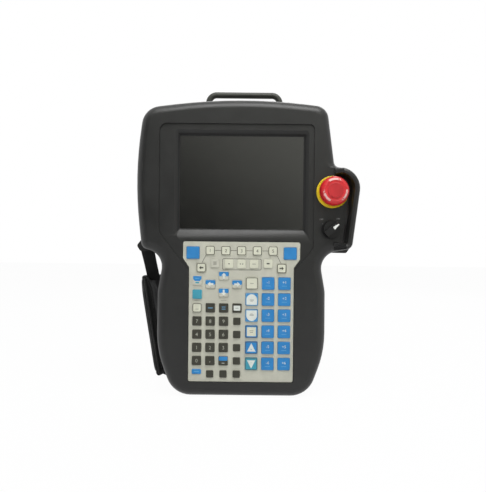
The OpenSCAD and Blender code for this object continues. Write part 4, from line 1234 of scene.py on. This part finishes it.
pad.data.materials.clear()
pad.data.materials.append(finishes["pad_fabric"])
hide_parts("strap_pad")
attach(pad, CASE)
piping("pad_piping", rim_path(), 1.0)
for side, label in ((-1, "stitches_outer_"), (1, "stitches_inner_")):
    for line, word in ((-CHANNEL_U, "front"), (CHANNEL_U, "rear")):
        stitches(label + word, [(0.06 + 0.88 * k / 400, line) for k in range(401)], side)
    for line, word in ((0.06, "low"), (0.94, "high")):
        stitches(label + word, [(line, -0.76 + 1.52 * k / 160) for k in range(161)], side)
print("strap cloths and stitches done")

# %% [markdown]
# Webbing is a flat tape. Each strap end is one length of it, swept along a path that leaves the
# pad, passes round a bar and comes back on itself, where it is sewn down. The map along and across
# the tape is in metres, so the weave keeps its size.


# %% Webbing at both ends
TAPE_WIDE, TAPE_THICK = 14, 1.5
SEWN_GAP, LOOP_GAP = 0.85, 2.95


def tape(name, path, across):
    """Sweeps a thin rounded section along a path. across is the direction of the tape's width."""
    bm = bmesh.new()
    uv = bm.loops.layers.uv.new("tape")
    across = Vector(across)
    section = [(-0.5, -0.32), (-0.47, -0.5), (0.47, -0.5), (0.5, -0.32),
               (0.5, 0.32), (0.47, 0.5), (-0.47, 0.5), (-0.5, 0.32)]
    path = [Vector(p) for p in path]
    rings, marks, far = [], [], 0.0
    for k, point in enumerate(path):
        along = (path[min(k + 1, len(path) - 1)] - path[max(k - 1, 0)]).normalized()
        out = along.cross(across).normalized()
        far += (point - path[max(k - 1, 0)]).length
        marks.append(far)
        rings.append(new_ring(bm, [point + across * (u * TAPE_WIDE) + out * (v * TAPE_THICK)
                                   for u, v in section]))
    for number, face in enumerate(join_rings(bm, rings, start=True, end=True)[:-2]):
        k, q = divmod(number, len(section))
        n = (q + 1) % len(section)
        for loop, (s, m) in zip(face.loops, ((q, k), (n, k), (n, k + 1), (q, k + 1))):
            loop[uv].uv = ((section[s][0] + 0.5) * TAPE_WIDE * MM, marks[m] * MM)
    made = mesh_object(bm, name, [finishes["webbing"]], closed=True)
    soften(made, 60)
    dress_piece(made)
    return made


def gap(share):
    """Half the space between the two layers: small where they are sewn, wide round the bar."""
    return SEWN_GAP + (LOOP_GAP - SEWN_GAP) * ease(share)


web_low, web_high = box_mm("strap_webbing")
web_x, bar_y, bar_z = web_low[0] + 7, 12.0, web_high[2] - 3.75
run_z = PAD_Z1 - 7


def upper_spot(share, side):
    """A point on one layer (side -1 or 1), from the grip (share 0) to the bar (share 1)."""
    return (web_x + 6 * (1 - share), bar_y + 14 * (1 - share) + side * gap((share - 0.45) / 0.55),
            run_z + (bar_z - run_z) * share)


upper = [upper_spot(k / 14, -1) for k in range(15)]
upper += [(web_x, bar_y - u, bar_z + v) for u, v in disc_outline(0, 0, LOOP_GAP, 12, 0, 180)[1:]]
upper += [upper_spot(k / 14, 1) for k in range(14, 1, -1)]
upper_web = tape("upper_webbing", upper, (1, 0, 0))
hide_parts("strap_webbing")

LOWER_Y = 27
lug = Vector((-73.5, 10.5))
mouth = Vector((pad_centre(0) + 1.7, PAD_Z0 + 3.0))
way = (mouth - lug).normalized()
flat = Vector((-way.y, way.x))


def lower_spot(share, side):
    """A point on one layer (side 1 or -1), from the grip (share 0) to the lug (share 1)."""
    return mouth.lerp(lug, share) + flat * (side * gap(share))


lower = [lower_spot(k / 4, 1) for k in range(5)]
lower += [lug + flat * u - way * v for u, v in disc_outline(0, 0, LOOP_GAP, 13, 0, 195)[1:]]
lower += [lower_spot(1 - k / 4, -1) for k in range(1, 5)]
tape("lower_webbing", [(spot.x, LOWER_Y, spot.y) for spot in lower], (0, 1, 0))
print("webbing from", round(web_low[2], 1), "to", round(web_high[2], 1))
